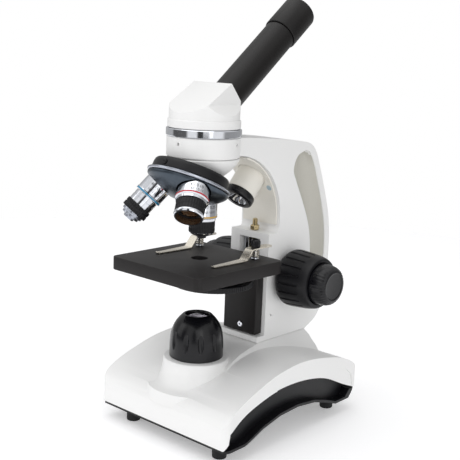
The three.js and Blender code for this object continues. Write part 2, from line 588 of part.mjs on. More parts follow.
// ---- Focus knobs --------------------------------------------------------------------
function coarseKnob() {
  const k = KNOB;
  const floor = k.coarseEnd - 2.4;
  const body = turned([[4.3, k.inner], [17.6, k.inner], [21, k.inner + 1.8], [k.coarse, k.inner + 5],
    [21.2, 45.6], [20, 50.4], [19, k.coarseEnd], [16.6, k.coarseEnd], [16.6, floor],
    [4.3, floor], [4.3, k.inner]], k.grooves);
  const grooves = around(k.grooves, (angle) => box(20.4, 26, -1, 1, 27.5, 46)
    .rotate([0, 0, angle + 180 / k.grooves]));
  return cut(body, ...grooves);
}

function fineKnob() {
  const k = KNOB;
  const start = k.coarseEnd - 2;
  const dome = turned([[0, start], [k.fine, start], [k.fine, start + 5], [15.8, start + 8.4],
    [14.9, start + 11.6], [13.6, start + 13.6], [11.6, k.end], [0, k.end]], 24);
  const lobes = alongZ(around(32, (angle, i) => {
    const r = k.fine - (i % 2 ? 0.5 : 0);
    return [r * Math.cos(deg(angle)), r * Math.sin(deg(angle))];
  }), start - 1, k.end + 1);
  return dome.intersect(lobes);
}

function pinion() {
  const { teeth, pitchRadius, half } = PINION;
  const step = 360 / teeth;
  const points = around(teeth, (angle) => [[-0.26, -0.9], [-0.1, 0.6], [0.1, 0.6], [0.26, -0.9]]
    .map(([share, rise]) => {
      const a = deg(angle + share * step);
      return [(pitchRadius + rise) * Math.cos(a), (pitchRadius + rise) * Math.sin(a)];
    })).flat();
  return alongZ(points, -half, half);
}

function addKnobs(root) {
  const knobs = subgroup(root, [0, KNOB.y, KNOB.z]);
  for (const [side, sign] of [["left", -90], ["right", 90]]) {
    piece(knobs, `coarse_knob_${side}`, coarseKnob().rotate([0, sign, 0]), BLACK);
    piece(knobs, `fine_knob_${side}`, fineKnob().rotate([0, sign, 0]), BLACK);
  }
  const shaft = cut(join(rod(4, -48, 48, 16), pinion()), rod(2.4, -60, 60, 12));
  piece(knobs, "coarse_shaft", layAlongX(shaft), STEEL);
  piece(knobs, "fine_shaft", layAlongX(rod(2, -50.6, 50.6, 16)), STEEL);
}

// ---- Assembly -----------------------------------------------------------------------
const microscope = new THREE.Group();
const standing = subgroup(microscope, [0, AXIS_Y, 0]);
addBase(standing);
addArm(standing);
addUpperLamp(standing);
addIlluminator(standing);
addHead(standing);
addNosepiece(standing);
addStage(standing);
addKnobs(standing);

export default microscope;
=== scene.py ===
"""A student microscope, dressed piece by piece over its CAD frame."""
import math

import bmesh
import bpy
from bpy.props import FloatProperty, FloatVectorProperty, IntProperty, PointerProperty
from bpy.types import Operator, Panel, PropertyGroup
from mathutils import Matrix, Vector
from mathutils.geometry import interpolate_bezier


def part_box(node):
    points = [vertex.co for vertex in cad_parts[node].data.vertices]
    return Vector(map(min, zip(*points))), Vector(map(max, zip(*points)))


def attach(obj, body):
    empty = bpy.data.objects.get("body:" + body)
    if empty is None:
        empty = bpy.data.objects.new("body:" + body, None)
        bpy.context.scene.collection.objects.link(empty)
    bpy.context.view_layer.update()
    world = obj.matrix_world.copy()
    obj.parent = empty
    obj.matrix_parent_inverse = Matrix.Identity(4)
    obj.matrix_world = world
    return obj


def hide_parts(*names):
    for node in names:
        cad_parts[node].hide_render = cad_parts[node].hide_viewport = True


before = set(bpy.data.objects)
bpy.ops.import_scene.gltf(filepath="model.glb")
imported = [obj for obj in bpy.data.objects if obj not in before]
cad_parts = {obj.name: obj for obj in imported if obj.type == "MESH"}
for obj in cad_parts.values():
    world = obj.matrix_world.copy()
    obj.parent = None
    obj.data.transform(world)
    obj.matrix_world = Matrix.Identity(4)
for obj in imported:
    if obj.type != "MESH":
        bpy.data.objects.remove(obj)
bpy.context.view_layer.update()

bl_info = {
    "name": "Student microscope",
    "version": (1, 0, 0),
    "blender": (4, 5, 0),
    "location": "3D View > Sidebar > Microscope",
    "description": "Builds a student microscope piece by piece over its CAD frame",
    "category": "Object",
}

# ---- Places -----------------------------------------------------------------------
# Shapes are drawn in millimetres from the optical axis, which stands ahead of the middle
# of the footprint; put() brings them to the frame in metres.
MM = 0.001
AXIS_AHEAD = 42.4


def shift(x, y, z):
    return Matrix.Translation((x, y, z))


def turn(degrees, axis):
    return Matrix.Rotation(math.radians(degrees), 4, axis)


TO_FRAME = Matrix.Diagonal((MM, MM, MM, 1)) @ shift(0, -AXIS_AHEAD, 0)
LEAN = 24.5  # the turret's tilt, and each objective's from the turret axis
TURRET = shift(0, 1.2, 225.2) @ turn(-LEAN, "X")
EYE_LINE = shift(0, 18.5, 248.7) @ turn(-51, "X")
LAMP_LINE = shift(0, 38.5, 174.5) @ turn(-42, "X")
KNOB_LINE = shift(0, 80.7, 111.9)
STOP_LINE = shift(0, 61.5, 0)
PIVOT_LINE = shift(0, 15, 0)
THROAT_LINE = shift(0, 17.5, 160)
TUBE_END = 79.4
ROD_X, ROD_Y = 7, 62
CLIP_X, CLIP_Y = 28.5, 29.5
SEATS = (0, 120, 240)


def objective_line(azimuth):
    """From an objective's seat, with Z back up its barrel."""
    return TURRET @ turn(azimuth, "Z") @ turn(LEAN, "X") @ shift(0, 0, -47.2)


# ---- Shapes -----------------------------------------------------------------------
def smooth(places, steps=5):
    """Points along one flowing line through the places."""
    spots = [Vector((a, b, 0)) for a, b in places]
    ends = [2 * spots[0] - spots[1], *spots, 2 * spots[-1] - spots[-2]]
    line = [spots[0]]
    for before, start, end, after in zip(ends, ends[1:], ends[2:], ends[3:]):
        reach_out = start + (end - before) / 6
        reach_in = end - (after - start) / 6
        line += interpolate_bezier(start, reach_out, reach_in, end, steps + 1)[1:]
    return [(p.x, p.y) for p in line]


def arc(cx, cy, radius, start, end, steps=8):
    angles = [math.radians(start + (end - start) * i / steps) for i in range(steps + 1)]
    return [(cx + radius * math.cos(a), cy + radius * math.sin(a)) for a in angles]


def rounded_plan(x0, x1, y0, y1, r, steps=8):
    return [*arc(x1 - r, y1 - r, r, 0, 90, steps), *arc(x0 + r, y1 - r, r, 90, 180, steps),
            *arc(x0 + r, y0 + r, r, 180, 270, steps), *arc(x1 - r, y0 + r, r, 270, 360, steps)]


def close_up(bm):
    bmesh.ops.remove_doubles(bm, verts=bm.verts[:], dist=1e-4)
    bmesh.ops.recalc_face_normals(bm, faces=bm.faces[:])
    return bm


def turned(profile, steps=96):
    """A profile of radius and height spun about Z; it ends where it starts, or on the axis."""
    bm = bmesh.new()
    spots = [bm.verts.new((r, 0, z)) for r, z in profile]
    edges = [bm.edges.new(pair) for pair in zip(spots, spots[1:])]
    bmesh.ops.spin(bm, geom=spots + edges, cent=(0, 0, 0), axis=(0, 0, 1), angle=math.tau,
                   steps=steps, use_merge=True)
    return close_up(bm)


def ring(inner, outer, low, high, ease=0.3, steps=96):
    """A collar with its four edges eased."""
    return turned([(inner, low), (outer - ease, low), (outer, low + ease), (outer, high - ease),
                   (outer - ease, high), (inner, high), (inner, low)], steps)


def rod(radius, low, high, ease=0.0, steps=48):
    return turned([(0, low), (radius - ease, low), (radius, low + ease), (radius, high - ease),
                   (radius - ease, high), (0, high)], steps)


def prism(outline, axis, low, high):
    """An outline pushed along an axis, drawn on the other two in their own order."""
    place = {"X": lambda a, b: (low, a, b), "Y": lambda a, b: (a, low, b),
             "Z": lambda a, b: (a, b, low)}[axis]
    reach = {"X": (high - low, 0, 0), "Y": (0, high - low, 0), "Z": (0, 0, high - low)}[axis]
    bm = bmesh.new()
    rim = [bm.verts.new(place(a, b)) for a, b in outline]
    bmesh.ops.remove_doubles(bm, verts=rim, dist=1e-3)
    face = bm.faces.new(bm.verts[:])
    grown = bmesh.ops.extrude_face_region(bm, geom=[face])["geom"]
    moved = [part for part in grown if isinstance(part, bmesh.types.BMVert)]
    bmesh.ops.translate(bm, vec=reach, verts=moved)
    return close_up(bm)


def block(x0, x1, y0, y1, z0, z1):
    bm = bmesh.new()
    bmesh.ops.create_cube(bm, size=1)
    bmesh.ops.scale(bm, vec=(x1 - x0, y1 - y0, z1 - z0), verts=bm.verts)
    bmesh.ops.translate(bm, vec=((x0 + x1) / 2, (y0 + y1) / 2, (z0 + z1) / 2), verts=bm.verts)
    return bm


def loft(*lines):
    """A closed skin through lines of (x, y, z) with equal counts, the last joined to the first."""
    bm = bmesh.new()
    rows = [[bm.verts.new(p) for p in line] for line in lines]
    loops = [[bm.edges.new(pair) for pair in zip(row, row[1:])] for row in rows]
    for here, there in zip(loops, loops[1:] + loops[:1]):
        bmesh.ops.bridge_loops(bm, edges=here + there)
    bmesh.ops.holes_fill(bm, edges=[e for e in bm.edges if e.is_boundary], sides=0)
    return close_up(bm)


def placed(bm, *moves):
    """The shape after each move, the last one first."""
    matrix = Matrix()
    for move in moves:
        matrix = matrix @ move
    bmesh.ops.transform(bm, matrix=matrix, verts=bm.verts)
    return bm


def joined(*shapes):
    """Several shapes as one mesh, without merging their walls."""
    whole = shapes[0]
    for shape in shapes[1:]:
        spare = bpy.data.meshes.new("spare")
        shape.to_mesh(spare)
        whole.from_mesh(spare)
        bpy.data.meshes.remove(spare)
        shape.free()
    return whole


def loose(bm):
    mesh = bpy.data.meshes.new("loose")
    bm.to_mesh(mesh)
    bm.free()
    obj = bpy.data.objects.new("loose", mesh)
    bpy.context.scene.collection.objects.link(obj)
    return obj


def worked(obj, *helpers):
    """The shape of an object with its modifiers applied; the object and its helpers go."""
    bpy.context.view_layer.update()
    graph = bpy.context.evaluated_depsgraph_get()
    shape = bmesh.new()
    shape.from_mesh(obj.evaluated_get(graph).to_mesh())
    for spent in (obj, *helpers):
        mesh = spent.data
        bpy.data.objects.remove(spent)
        bpy.data.meshes.remove(mesh)
    bmesh.ops.dissolve_degenerate(shape, dist=1e-3, edges=shape.edges[:])
    return shape


def machined(body, kind, *tools):
    """The body with the tools cut away, added or kept in common."""
    stock = loose(body)
    cutters = [loose(tool) for tool in tools]
    for cutter in cutters:
        step = stock.modifiers.new("machining", "BOOLEAN")
        step.operation = kind
        step.object = cutter
        step.solver = "EXACT"
    return worked(stock, *cutters)


def cut(body, *tools):
    return machined(body, "DIFFERENCE", *tools)


def fuse(body, *tools):
    return machined(body, "UNION", *tools)


def common(body, *tools):
    return machined(body, "INTERSECT", *tools)


def eased(bm, width, segments=4, above=40, where=None):
    """Sharp edges rounded over, all of them or those whose middle passes the test."""
    edges = [e for e in bm.edges if len(e.link_faces) == 2
             and e.calc_face_angle(0) > math.radians(above)
             and (where is None or where((e.verts[0].co + e.verts[1].co) / 2))]
    bmesh.ops.bevel(bm, geom=edges, offset=width, offset_type="OFFSET", segments=segments,
                    profile=0.5, affect="EDGES", material=-1, clamp_overlap=True)
    return bm


def ribbed(bm, count, depth, low, high, reach):
    """Every second line of a turned band pressed in, which leaves upright ribs."""
    for vert in bm.verts:
        x, y, z = vert.co
        slice_no = round(math.atan2(y, x) / math.tau * 2 * count)
        if low < z < high and math.hypot(x, y) > reach and slice_no % 2:
            vert.co.x -= depth * x / math.hypot(x, y)
            vert.co.y -= depth * y / math.hypot(x, y)
    return bm


def painted(bm, index, test=lambda x, y, z: True):
    """Gives the faces whose middle passes the test another of the piece's finishes."""
    for face in bm.faces:
        if test(*face.calc_center_median()):
            face.material_index = index
    return bm


def put(bm, name, body, finishes, stands_for, line=Matrix(), edge=0.0, crease=32):
    """Lays a shape along its line in the frame and hands it to its CAD body."""
    placed(bm, TO_FRAME, line)
    mesh = bpy.data.meshes.new(name)
    bm.to_mesh(mesh)
    bm.free()
    obj = bpy.data.objects.new(name, mesh)
    bpy.context.scene.collection.objects.link(obj)
    for coat in finishes:
        mesh.materials.append(stocked(coat) if isinstance(coat, str) else coat)
    mesh.shade_smooth()
    mesh.set_sharp_from_angle(angle=math.radians(crease))
    if edge:
        soften = obj.modifiers.new("eased edges", "BEVEL")
        soften.width = edge * MM
        soften.segments = 2
        soften.limit_method = "ANGLE"
        soften.angle_limit = math.radians(crease)
        soften.harden_normals = True
    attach(obj, body)
    if stands_for:
        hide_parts(*stands_for)
    return obj


# ---- Finishes ---------------------------------------------------------------------
def linear(colour):
    """An sRGB hex colour as the linear one that shaders take."""
    parts = [int(colour[i:i + 2], 16) / 255 for i in (1, 3, 5)]
    return tuple(c / 12.92 if c <= 0.04045 else ((c + 0.055) / 1.055) ** 2.4 for c in parts)


def add_node(tree, kind, settings=None, **sockets):
    """Adds a node with its settings, and a value or a link for each named socket."""
    made = tree.nodes.new("ShaderNode" + kind)
    for key, value in (settings or {}).items():
        setattr(made, key, value)
    for key, value in sockets.items():
        number = key.startswith("at_")
        socket = made.inputs[int(key[3:]) if number else key.replace("_", " ")]
        if isinstance(value, bpy.types.NodeSocket):
            tree.links.new(value, socket)
        else:
            socket.default_value = value
    return made


def mixed(tree, share, before, after):
    """The colour part way from one to the other."""
    return add_node(tree, "Mix", {"data_type": "RGBA"}, at_0=share, at_6=before,
                    at_7=after).outputs[2]


def finish(name, colours, roughness, grain, relief, fixed):
    """A finish with a grain of a given size in millimetres, which drives its shade, its
    roughness and its relief. A pair of colours or roughnesses is the range the grain covers."""
    if name in bpy.data.materials:
        return bpy.data.materials[name]
    made = bpy.data.materials.new(name)
    made.use_nodes = True
    tree = made.node_tree
    shader = tree.nodes["Principled BSDF"]
    place = add_node(tree, "TexCoord").outputs["Object"]
    noise = add_node(tree, "TexNoise", Vector=place, Scale=1000 / grain, Detail=3.0,
                     Roughness=0.55).outputs["Fac"]
    wide = add_node(tree, "TexNoise", Vector=place, Scale=1000 / (grain * 22),
                    Detail=2.0).outputs["Fac"]
    level = add_node(tree, "Math", {"operation": "MULTIPLY_ADD"}, at_0=wide, at_1=0.6,
                     at_2=-0.1).outputs[0]
    blend = add_node(tree, "Math", {"operation": "MULTIPLY_ADD", "use_clamp": True}, at_0=noise,
                     at_1=0.6, at_2=level).outputs[0]
    shade = mixed(tree, blend, (*colours[0], 1), (*colours[1], 1))
    rough = add_node(tree, "MapRange", Value=blend, To_Min=roughness[0],
                     To_Max=roughness[1]).outputs["Result"]
    bump = add_node(tree, "Bump", Height=noise, Distance=relief * MM,
                    Strength=1.0).outputs["Normal"]
    tree.links.new(shade, shader.inputs["Base Color"])
    tree.links.new(rough, shader.inputs["Roughness"])
    tree.links.new(bump, shader.inputs["Normal"])
    for key, value in fixed.items():
        shader.inputs[key].default_value = value
    return made


def enamel():
    """White polyester powder coat, sprayed and baked: a soft sheen over a faint orange peel."""
    tint = bpy.context.scene.microscope_castings.enamel
    return finish("powder_coat_baked", (tint, [0.985 * c for c in tint]), (0.34, 0.42),
                  bpy.context.scene.microscope_castings.peel / MM, 0.012,
                  {"Coat Weight": 0.12, "Coat Roughness": 0.18})


# Each finish: its name, its lighter and darker colour, roughness range, grain and relief in
# millimetres, and what else its shader holds.
FINISHES = {
    # The powder coat in the finger recess, greyed as painted shade standing for the shadow it lies
    # in.
    "painted_shade_enamel": ("powder_coat_painted_shade", "#c4c2b9", "#b9b7ae", (0.4, 0.5), 1.4, 0.012, {}),
    # White ABS, moulded with a fine matt grain: softer and warmer than the enamel.
    "moulded_white": ("abs_moulded_white", "#efece4", "#e6e3da", (0.42, 0.52), 0.9, 0.015, {}),
    # A milky blue acrylic window, moulded and pressed into the lining.
    "pale_window": ("acrylic_moulded_pale", "#b9cdd6", "#a6bcc8", (0.16, 0.24), 1.2, 0.004,
                    {"IOR": 1.49}),
    # Black epoxy coat with a fine wrinkle, baked on: it breaks light into a brownish haze.
    "wrinkle_black": ("epoxy_wrinkle_black", "#151313", "#1f1c1c", (0.46, 0.58), 0.7, 0.04,
                      {"Specular IOR Level": 0.3}),
    # Black anodised aluminium tube, blasted before dyeing: matt with a long soft highlight.
    "tube_black": ("anodised_blasted_black", "#0e0d0d", "#191716", (0.34, 0.44), 0.5, 0.015,
                   {"Specular IOR Level": 0.26}),
    # Black ABS off a polished mould: a wet-looking gloss with faint flow marks.
    "phenolic_black": ("abs_moulded_gloss_black", "#08080b", "#0e0e13", (0.2, 0.3), 1.6, 0.01,
                       {"Specular IOR Level": 0.32, "Coat Weight": 0.06, "Coat Roughness": 0.14}),
    # Black nylon from a spark-eroded mould: a dull, slightly grey sheen.
    "satin_black": ("nylon_moulded_black", "#08080b", "#101014", (0.34, 0.46), 0.8, 0.03,
                    {"Specular IOR Level": 0.3}),
    # Black nitrile rubber, pressed: nearly matt, greyed by handling.
    "foot_rubber": ("rubber_pressed_black", "#0e0e10", "#1a1a1c", (0.6, 0.78), 0.8, 0.05,
                    {"Specular IOR Level": 0.4}),
    # Bright chromium plate over polished brass: mirror clear, with the faintest haze.
    "chrome": ("chrome_plated", "#e3e5ea", "#cfd2d8", (0.06, 0.12), 2.5, 0.0007,
               {"Metallic": 1.0}),
    # Nickel plate over a turned surface: bright but softened along the lathe's marks.
    "satin_nickel": ("nickel_satin", "#b9bdc6", "#9a9ea8", (0.2, 0.34), 0.6, 0.012,
                     {"Metallic": 1.0}),
    # Rolled spring steel strip, tumbled and plated: pale, warm and slightly brushed.
    "spring_steel": ("spring_steel_plated", "#efe9dc", "#d9d2c4", (0.2, 0.34), 0.8, 0.003,
                     {"Metallic": 1.0}),
    # Turned brass under clear lacquer: warm, with a soft machined sheen.
    "brass": ("brass_turned", "#cdbf9b", "#a8946a", (0.2, 0.34), 0.7, 0.012, {"Metallic": 1.0}),
    # Polished crown glass with a magnesium fluoride bloom: a faint violet reflection.
    "optical_glass": ("crown_glass_coated", "#e9e4ef", "#ded8e8", (0.02, 0.05), 4.0, 0.001,
                      {"IOR": 1.52, "Transmission Weight": 0.82,
                       "Specular Tint": (0.8, 0.7, 1, 1)}),
    # A doublet cemented in a blackened cell: amber glints deep in a brown pupil.
    "dark_glass": ("doublet_coated_amber", "#1d1411", "#5a4432", (0.03, 0.08), 3.0, 0.002,
                   {"IOR": 1.6, "Coat Weight": 0.6, "Coat Tint": (1, 0.85, 0.6, 1)}),
    # Green solder mask over glass-epoxy laminate: a thin gloss over fine copper tracks.
    "led_board": ("laminate_green_mask", "#2c5a3d", "#3f7350", (0.3, 0.42), 1.2, 0.03, {}),
    # Epoxy cast round the diode: water clear with a pale phosphor under it.
    "led_lens": ("epoxy_cast_led", "#f4f1df", "#e6dfb8", (0.05, 0.12), 1.0, 0.005,
                 {"IOR": 1.5, "Transmission Weight": 0.4}),
    # Black enamel wiped into engraving: dull and slightly uneven.
    "black_fill": ("enamel_engraving_fill", "#121214", "#26262a", (0.4, 0.55), 0.4, 0.01, {}),
}


def stocked(key):
    """One of the finishes above."""
    name, light, dark, roughness, grain, relief, fixed = FINISHES[key]
    return finish(name, (linear(light), linear(dark)), roughness, grain, relief, fixed)


def ring_paint(name, tint):
    """Cellulose paint flowed into a turned groove: an even, glossy ring of colour."""
    return finish(name, (tint, [0.8 * c for c in tint]), (0.2, 0.3), 0.8, 0.006,
                  {"Coat Weight": 0.3})


def lathe_turned(name, line, colours, pitch, relief, roughness):
    """Metal faced on a lathe: fine grooves that run round the piece's own axis and stretch
    the highlights across them. The pitch is coarser than real so that it shows."""
    made = finish(name, colours, roughness, 3.0, 0.004, {"Metallic": 1.0, "Anisotropic": 0.35})
    if "lathe" in made.node_tree.nodes:
        return made
    tree = made.node_tree
    shader = tree.nodes["Principled BSDF"]
    own = (TO_FRAME @ line).inverted()
    place = add_node(tree, "TexCoord").outputs["Object"]
    spot = add_node(tree, "Mapping", Vector=place, Location=own.to_translation(),
                    Rotation=own.to_euler(), Scale=own.to_scale()).outputs["Vector"]
    grooves = add_node(tree, "TexWave", {"wave_type": "RINGS", "rings_direction": "Z"},
                       Vector=spot, Scale=0.314 / pitch, Distortion=0.6,
                       Detail=1.0).outputs["Fac"]
    bump = add_node(tree, "Bump", {"name": "lathe"}, Height=grooves, Distance=relief * MM,
                    Strength=0.6).outputs["Normal"]
    tree.links.new(bump, shader.inputs["Normal"])
    return made


# ---- Settings ---------------------------------------------------------------------
def tint(name, description, colour):
    return FloatVectorProperty(name=name, description=description, subtype="COLOR", size=3,
                               default=linear(colour), min=0, max=1)


def length(name, description, default, low, high):
    return FloatProperty(name=name, description=description, unit="LENGTH", default=default,
                         min=low, max=high, precision=5)


def count(name, description, default, low, high):
    return IntProperty(name=name, description=description, default=default, min=low, max=high)


class MicroscopeCastings(PropertyGroup):
    """Sizes and colours of the stand, arm and head."""

    enamel: tint("Enamel", "Colour of the white powder coat", "#ededec")
    peel: length("Orange peel", "Width of the dimples in the powder coat", 0.0013, 0.0003, 0.01)
    rim: length("Rim radius", "Rounding of the base where its top meets its sides", 0.0034,
                0.0005, 0.006)
    arm_edge: length("Arm edge radius", "Rounding of the arm's side edges", 0.0018, 0.0003,
                     0.004)


class MicroscopeOptics(PropertyGroup):
    """Colours and counts on the turret and its objectives."""

    red: tint("4x ring", "Colour of the ring that marks the lowest power", "#c31f30")
    yellow: tint("10x ring", "Colour of the ring that marks the middle power", "#d9ac4b")
    blue: tint("40x ring", "Colour of the ring that marks the highest power", "#2a86ad")
    grip_ribs: count("Grip ribs", "Upright ribs round each objective's black grip", 36, 12, 90)
    turret_ribs: count("Turret ribs", "Fine ribs round the turret's metal ring", 110, 24, 200)


class MicroscopeControls(PropertyGroup):
    """Counts on the knobs and the lamp cap."""

    slots: count("Coarse knob slots", "Long slots round each coarse focus knob", 20, 6, 40)
    fine_ribs: count("Fine knob ribs", "Ribs round each fine focus knob", 36, 8, 72)
    flutes: count("Cap flutes", "Scooped finger grips round the lamp cap", 11, 4, 20)


class MicroscopeStudio(PropertyGroup):
    """The floor, the light and the camera."""

    floor: tint("Floor", "Colour of the plain floor", "#f7f7f8")
    key: FloatProperty(name="Key light", description="Strength of the large light overhead",
                       unit="POWER", default=4.4, min=0.0, max=200.0)
    lens: FloatProperty(name="Lens", description="Focal length in millimetres on a 36 mm sensor",
                        default=71.45, min=20, max=200)


# ---- Stand ------------------------------------------------------------------------
BACK_LINE = [(-37.4, 24), (-35.5, 31.5), (-30, 37.5), (-20, 43.4), (-3, 49.6), (18, 55.4),
             (42, 58.2), (62, 57.4), (82, 54.2), (100, 50), (114, 45), (124, 38.8), (129, 30.5)]
ARCH_LINE = [(125, 19), (109.6, 25.1), (85.7, 35.9), (66, 41), (43, 43.6), (18, 43), (-6, 38),
             (-20, 32.8), (-31.6, 25.4)]
FLOOR_LINE = [(125.8, 18.2), (118.5, 11), (100, 11), (87, 15.6), (70, 20.6), (48, 23.2),
              (26, 22.2), (6, 18), (-8, 12.8), (-14, 11), (-35, 11)]


def base_plan(inset, low, high):
    """The base seen from above, drawn in from its edge by an inset, as an upright block."""
    front, rear, r = 66 - inset, 60.6 - inset, 7
    y0, y1 = -37.5 + inset, 129.6 - inset
    return prism([*arc(-front + r, y0 + r, r, 180, 270), *arc(front - r, y0 + r, r, 270, 360),
                  *arc(rear - r, y1 - r, r, 0, 90), *arc(-rear + r, y1 - r, r, 90, 180)],
                 "Z", low, high)


def base_side(inset):
    back = [(y, z - inset) for y, z in smooth(BACK_LINE, 4)]
    return [(-36.3 + inset, 13.4), (-37.5 + inset, 19), *back, (129.6 - inset, 28),
            (125.6 - inset, 19)]


def raised(line, rise):
    return [(y, z + rise) for y, z in line]


class MICROSCOPE_OT_base(Operator):
    """Build the white base shell and its black under-tray"""

    bl_idname = "microscope.base"
    bl_label = "Base"

    def execute(self, context):
        rim = context.scene.microscope_castings.rim / MM
        outer = common(prism(base_side(0), "X", -70, 70), base_plan(0, 0, 80))
        outer = eased(outer, rim, 6, 50, lambda p: p.z > 24)
        boss = turned([(0, 30), (38, 30), (36, 38.6), (32.4, 39.7), (29.6, 41.2), (27.6, 43.4),
                       (26.3, 46.6), (25.5, 50), (25, 54), (24.6, 57.4), (24.1, 58.4),
                       (23.2, 58.8), (0, 58.8)])
        spine = prism([(-4, 46), (6, 53.4), (16, 56.4), (26, 58.9), (36, 60.6), (44, 61.6),
                       (49, 62.5), (107.5, 62.5), (110.5, 58), (112.5, 45), (100, 40)],
                      "X", -36, 36)
        ridge = prism([(-35, 40), (35, 40), (29.5, 50), (25, 54.6), (22, 58.6), (19.5, 62.5),
                       (19.5, 70), (-19.5, 70), (-19.5, 62.5), (-22, 58.6), (-25, 54.6),
                       (-29.5, 50)], "Y", -10, 120)
        whole = fuse(outer, boss, eased(common(spine, ridge), 1.2, 3, 30, lambda p: p.z > 44))
        side = [(125.6, 20), *raised(smooth(ARCH_LINE, 4), 1), (-20, 20)]
        panel = [(30, 46.6), (45.9, 51.8), (62, 50.9), (80.1, 47.2), (98, 42.4), (113, 36.6),
                 (119.5, 31), (121.5, 24), (121, 10), (20, 10), (20, 44.4)]
        recess = cut(prism(panel, "X", -80, 80), base_plan(0.7, 0, 80))
        inner = common(prism([(-33.3, 0), *base_side(3), (122.6, 0)], "X", -70, 70),
                       base_plan(3, -5, 80))
        inner = cut(inner, block(-80, 80, -10, 113, 54, 90))
        arch = prism([*smooth(ARCH_LINE, 4), (-32.6, 18), (-36, 13), (-36, 0), (135, 0),
                      (135, 19)], "X", -80, 80)
        hollow = turned([(0, 0), (20, 0), (20, 52), (0, 52)], 48)
        shell = cut(whole, inner, hollow, rod(6.5, 50, 60), recess, arch,
                    block(-21, -9, 110, 135, 26, 33), block(-4.5, 15.5, 110, 135, 23.6, 36.4))
        put(shell, "base_casting", "stand", [enamel()], ["base_shell"],
            edge=0.45)
        walls = common(prism([*raised(smooth(ARCH_LINE, 4), 1.8), *reversed(FLOOR_LINE)], "X",
                             -70, 70), base_plan(7.5, 0, 80))
        room = common(prism([*raised(smooth(ARCH_LINE, 4), 6),
                             *raised(reversed(FLOOR_LINE), 2.5)], "X", -70, 70),
                      base_plan(10, 0, 80))
        lip = common(prism([(125.6, 18.6), (119, 18.4), (113, 13.1), *raised(FLOOR_LINE[2:], 2.1),
                            *list(reversed(FLOOR_LINE))[:-1]], "X", -70, 70),
                     base_plan(0.6, 0, 80))
        tray = cut(fuse(walls, lip), room)
        put(tray, "under_tray", "stand", ["satin_black"], ["base_tray"],
            edge=0.35)
        return {"FINISHED"}


class MICROSCOPE_OT_feet(Operator):
    """Build the four rubber feet"""

    bl_idname = "microscope.feet"
    bl_label = "Feet"

    def execute(self, context):
        for corner in ("front_left", "front_right", "rear_left", "rear_right"):
            low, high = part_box(f"foot_{corner}")
            x, y = (low[0] + high[0]) / 2 / MM, (low[1] + high[1]) / 2 / MM + AXIS_AHEAD
            foot = turned([(0, 0.5), (3.2, 0.5), (3.8, 0), (4.5, 0), (5.1, 0.4), (5.3, 1),
                           (5.5, 7.6), (5.8, 8), (5.8, 10.2), (5.4, 10.7), (0, 10.7)], 48)
            put(foot, f"rubber_foot_{corner}", "stand", ["foot_rubber"], [f"foot_{corner}"],
                shift(x, y, 0))
        return {"FINISHED"}


class MICROSCOPE_OT_electrics(Operator):
    """Build the rear rocker switch and the low-voltage inlet"""

    bl_idname = "microscope.electrics"
    bl_label = "Switch and inlet"

    def execute(self, context):
        rocker = prism([*arc(0, 0, 7.2, -52, -46, 2), (6, -0.6), (5.9, 0), (6, 0.6),
                        *arc(0, 0, 7.2, 46, 52, 2), (1, 3.2), (-1.6, 0), (1, -3.2)], "X", -3.9,
                       14.9)
        put(rocker, "rocker_key", "rocker", ["phenolic_black"], ["power_switch"],
            shift(0, 123.4, 30) @ turn(8, "X"), edge=0.35)
        bore = placed(rod(2.4, 0, 12, steps=32), shift(-15, 131, 29.5), turn(90, "X"))
        flange = eased(block(-20.7, -9.3, 115, 130, 26.3, 32.7), 0.5, 3)
        pin = placed(rod(0.8, 0, 9, 0.3, 24), shift(-15, 129, 29.5), turn(90, "X"))
        inlet = painted(joined(cut(flange, bore), pin), 1,
                        lambda x, y, z: math.hypot(x + 15, z - 29.5) < 0.85)
        put(inlet, "inlet_socket", "stand", ["satin_black", "chrome"], ["power_inlet"])
        return {"FINISHED"}


# ---- Arm --------------------------------------------------------------------------
ARM_BACK = [(0, 224.2), (30, 223.4), (70, 220.4), (92, 218), (103, 215.4), (110, 209),
            (116.5, 195.5), (124.8, 175.2), (130.8, 157.8), (134, 140), (134.74, 120),
            (133.6, 100), (129.5, 82), (121.5, 70), (108, 62.8)]
GRIP_FRONT = [(96, 211), (86, 206.5), (82, 196), (86.5, 186), (95.5, 170), (103.3, 154),
              (107.6, 139), (109, 122), (108, 104)]
GRIP_REAR = [(101, 210), (108, 200), (117, 178), (124, 158), (127.6, 140), (128, 120),
             (126.5, 108), (124.8, 101), (123, 94)]


def grip_cutter(side):
    """The finger recess: a cove that drops behind its front edge and rises to the rear rim."""
    front, rear = smooth(GRIP_FRONT, 5), smooth(GRIP_REAR, 5)
    cove = [(0, 22), (0, 19.4), (0.06, 18.8), (0.2, 16.2), (0.34, 13.8), (0.48, 12.6),
            (0.6, 12.5), (0.72, 13.3), (0.84, 15), (0.93, 17), (1, 18.7), (1, 22)]
    rows = [[(side * x, a + (c - a) * share, b + (d - b) * share)
             for (a, b), (c, d) in zip(front, rear)] for share, x in cove]
    return loft(*rows)


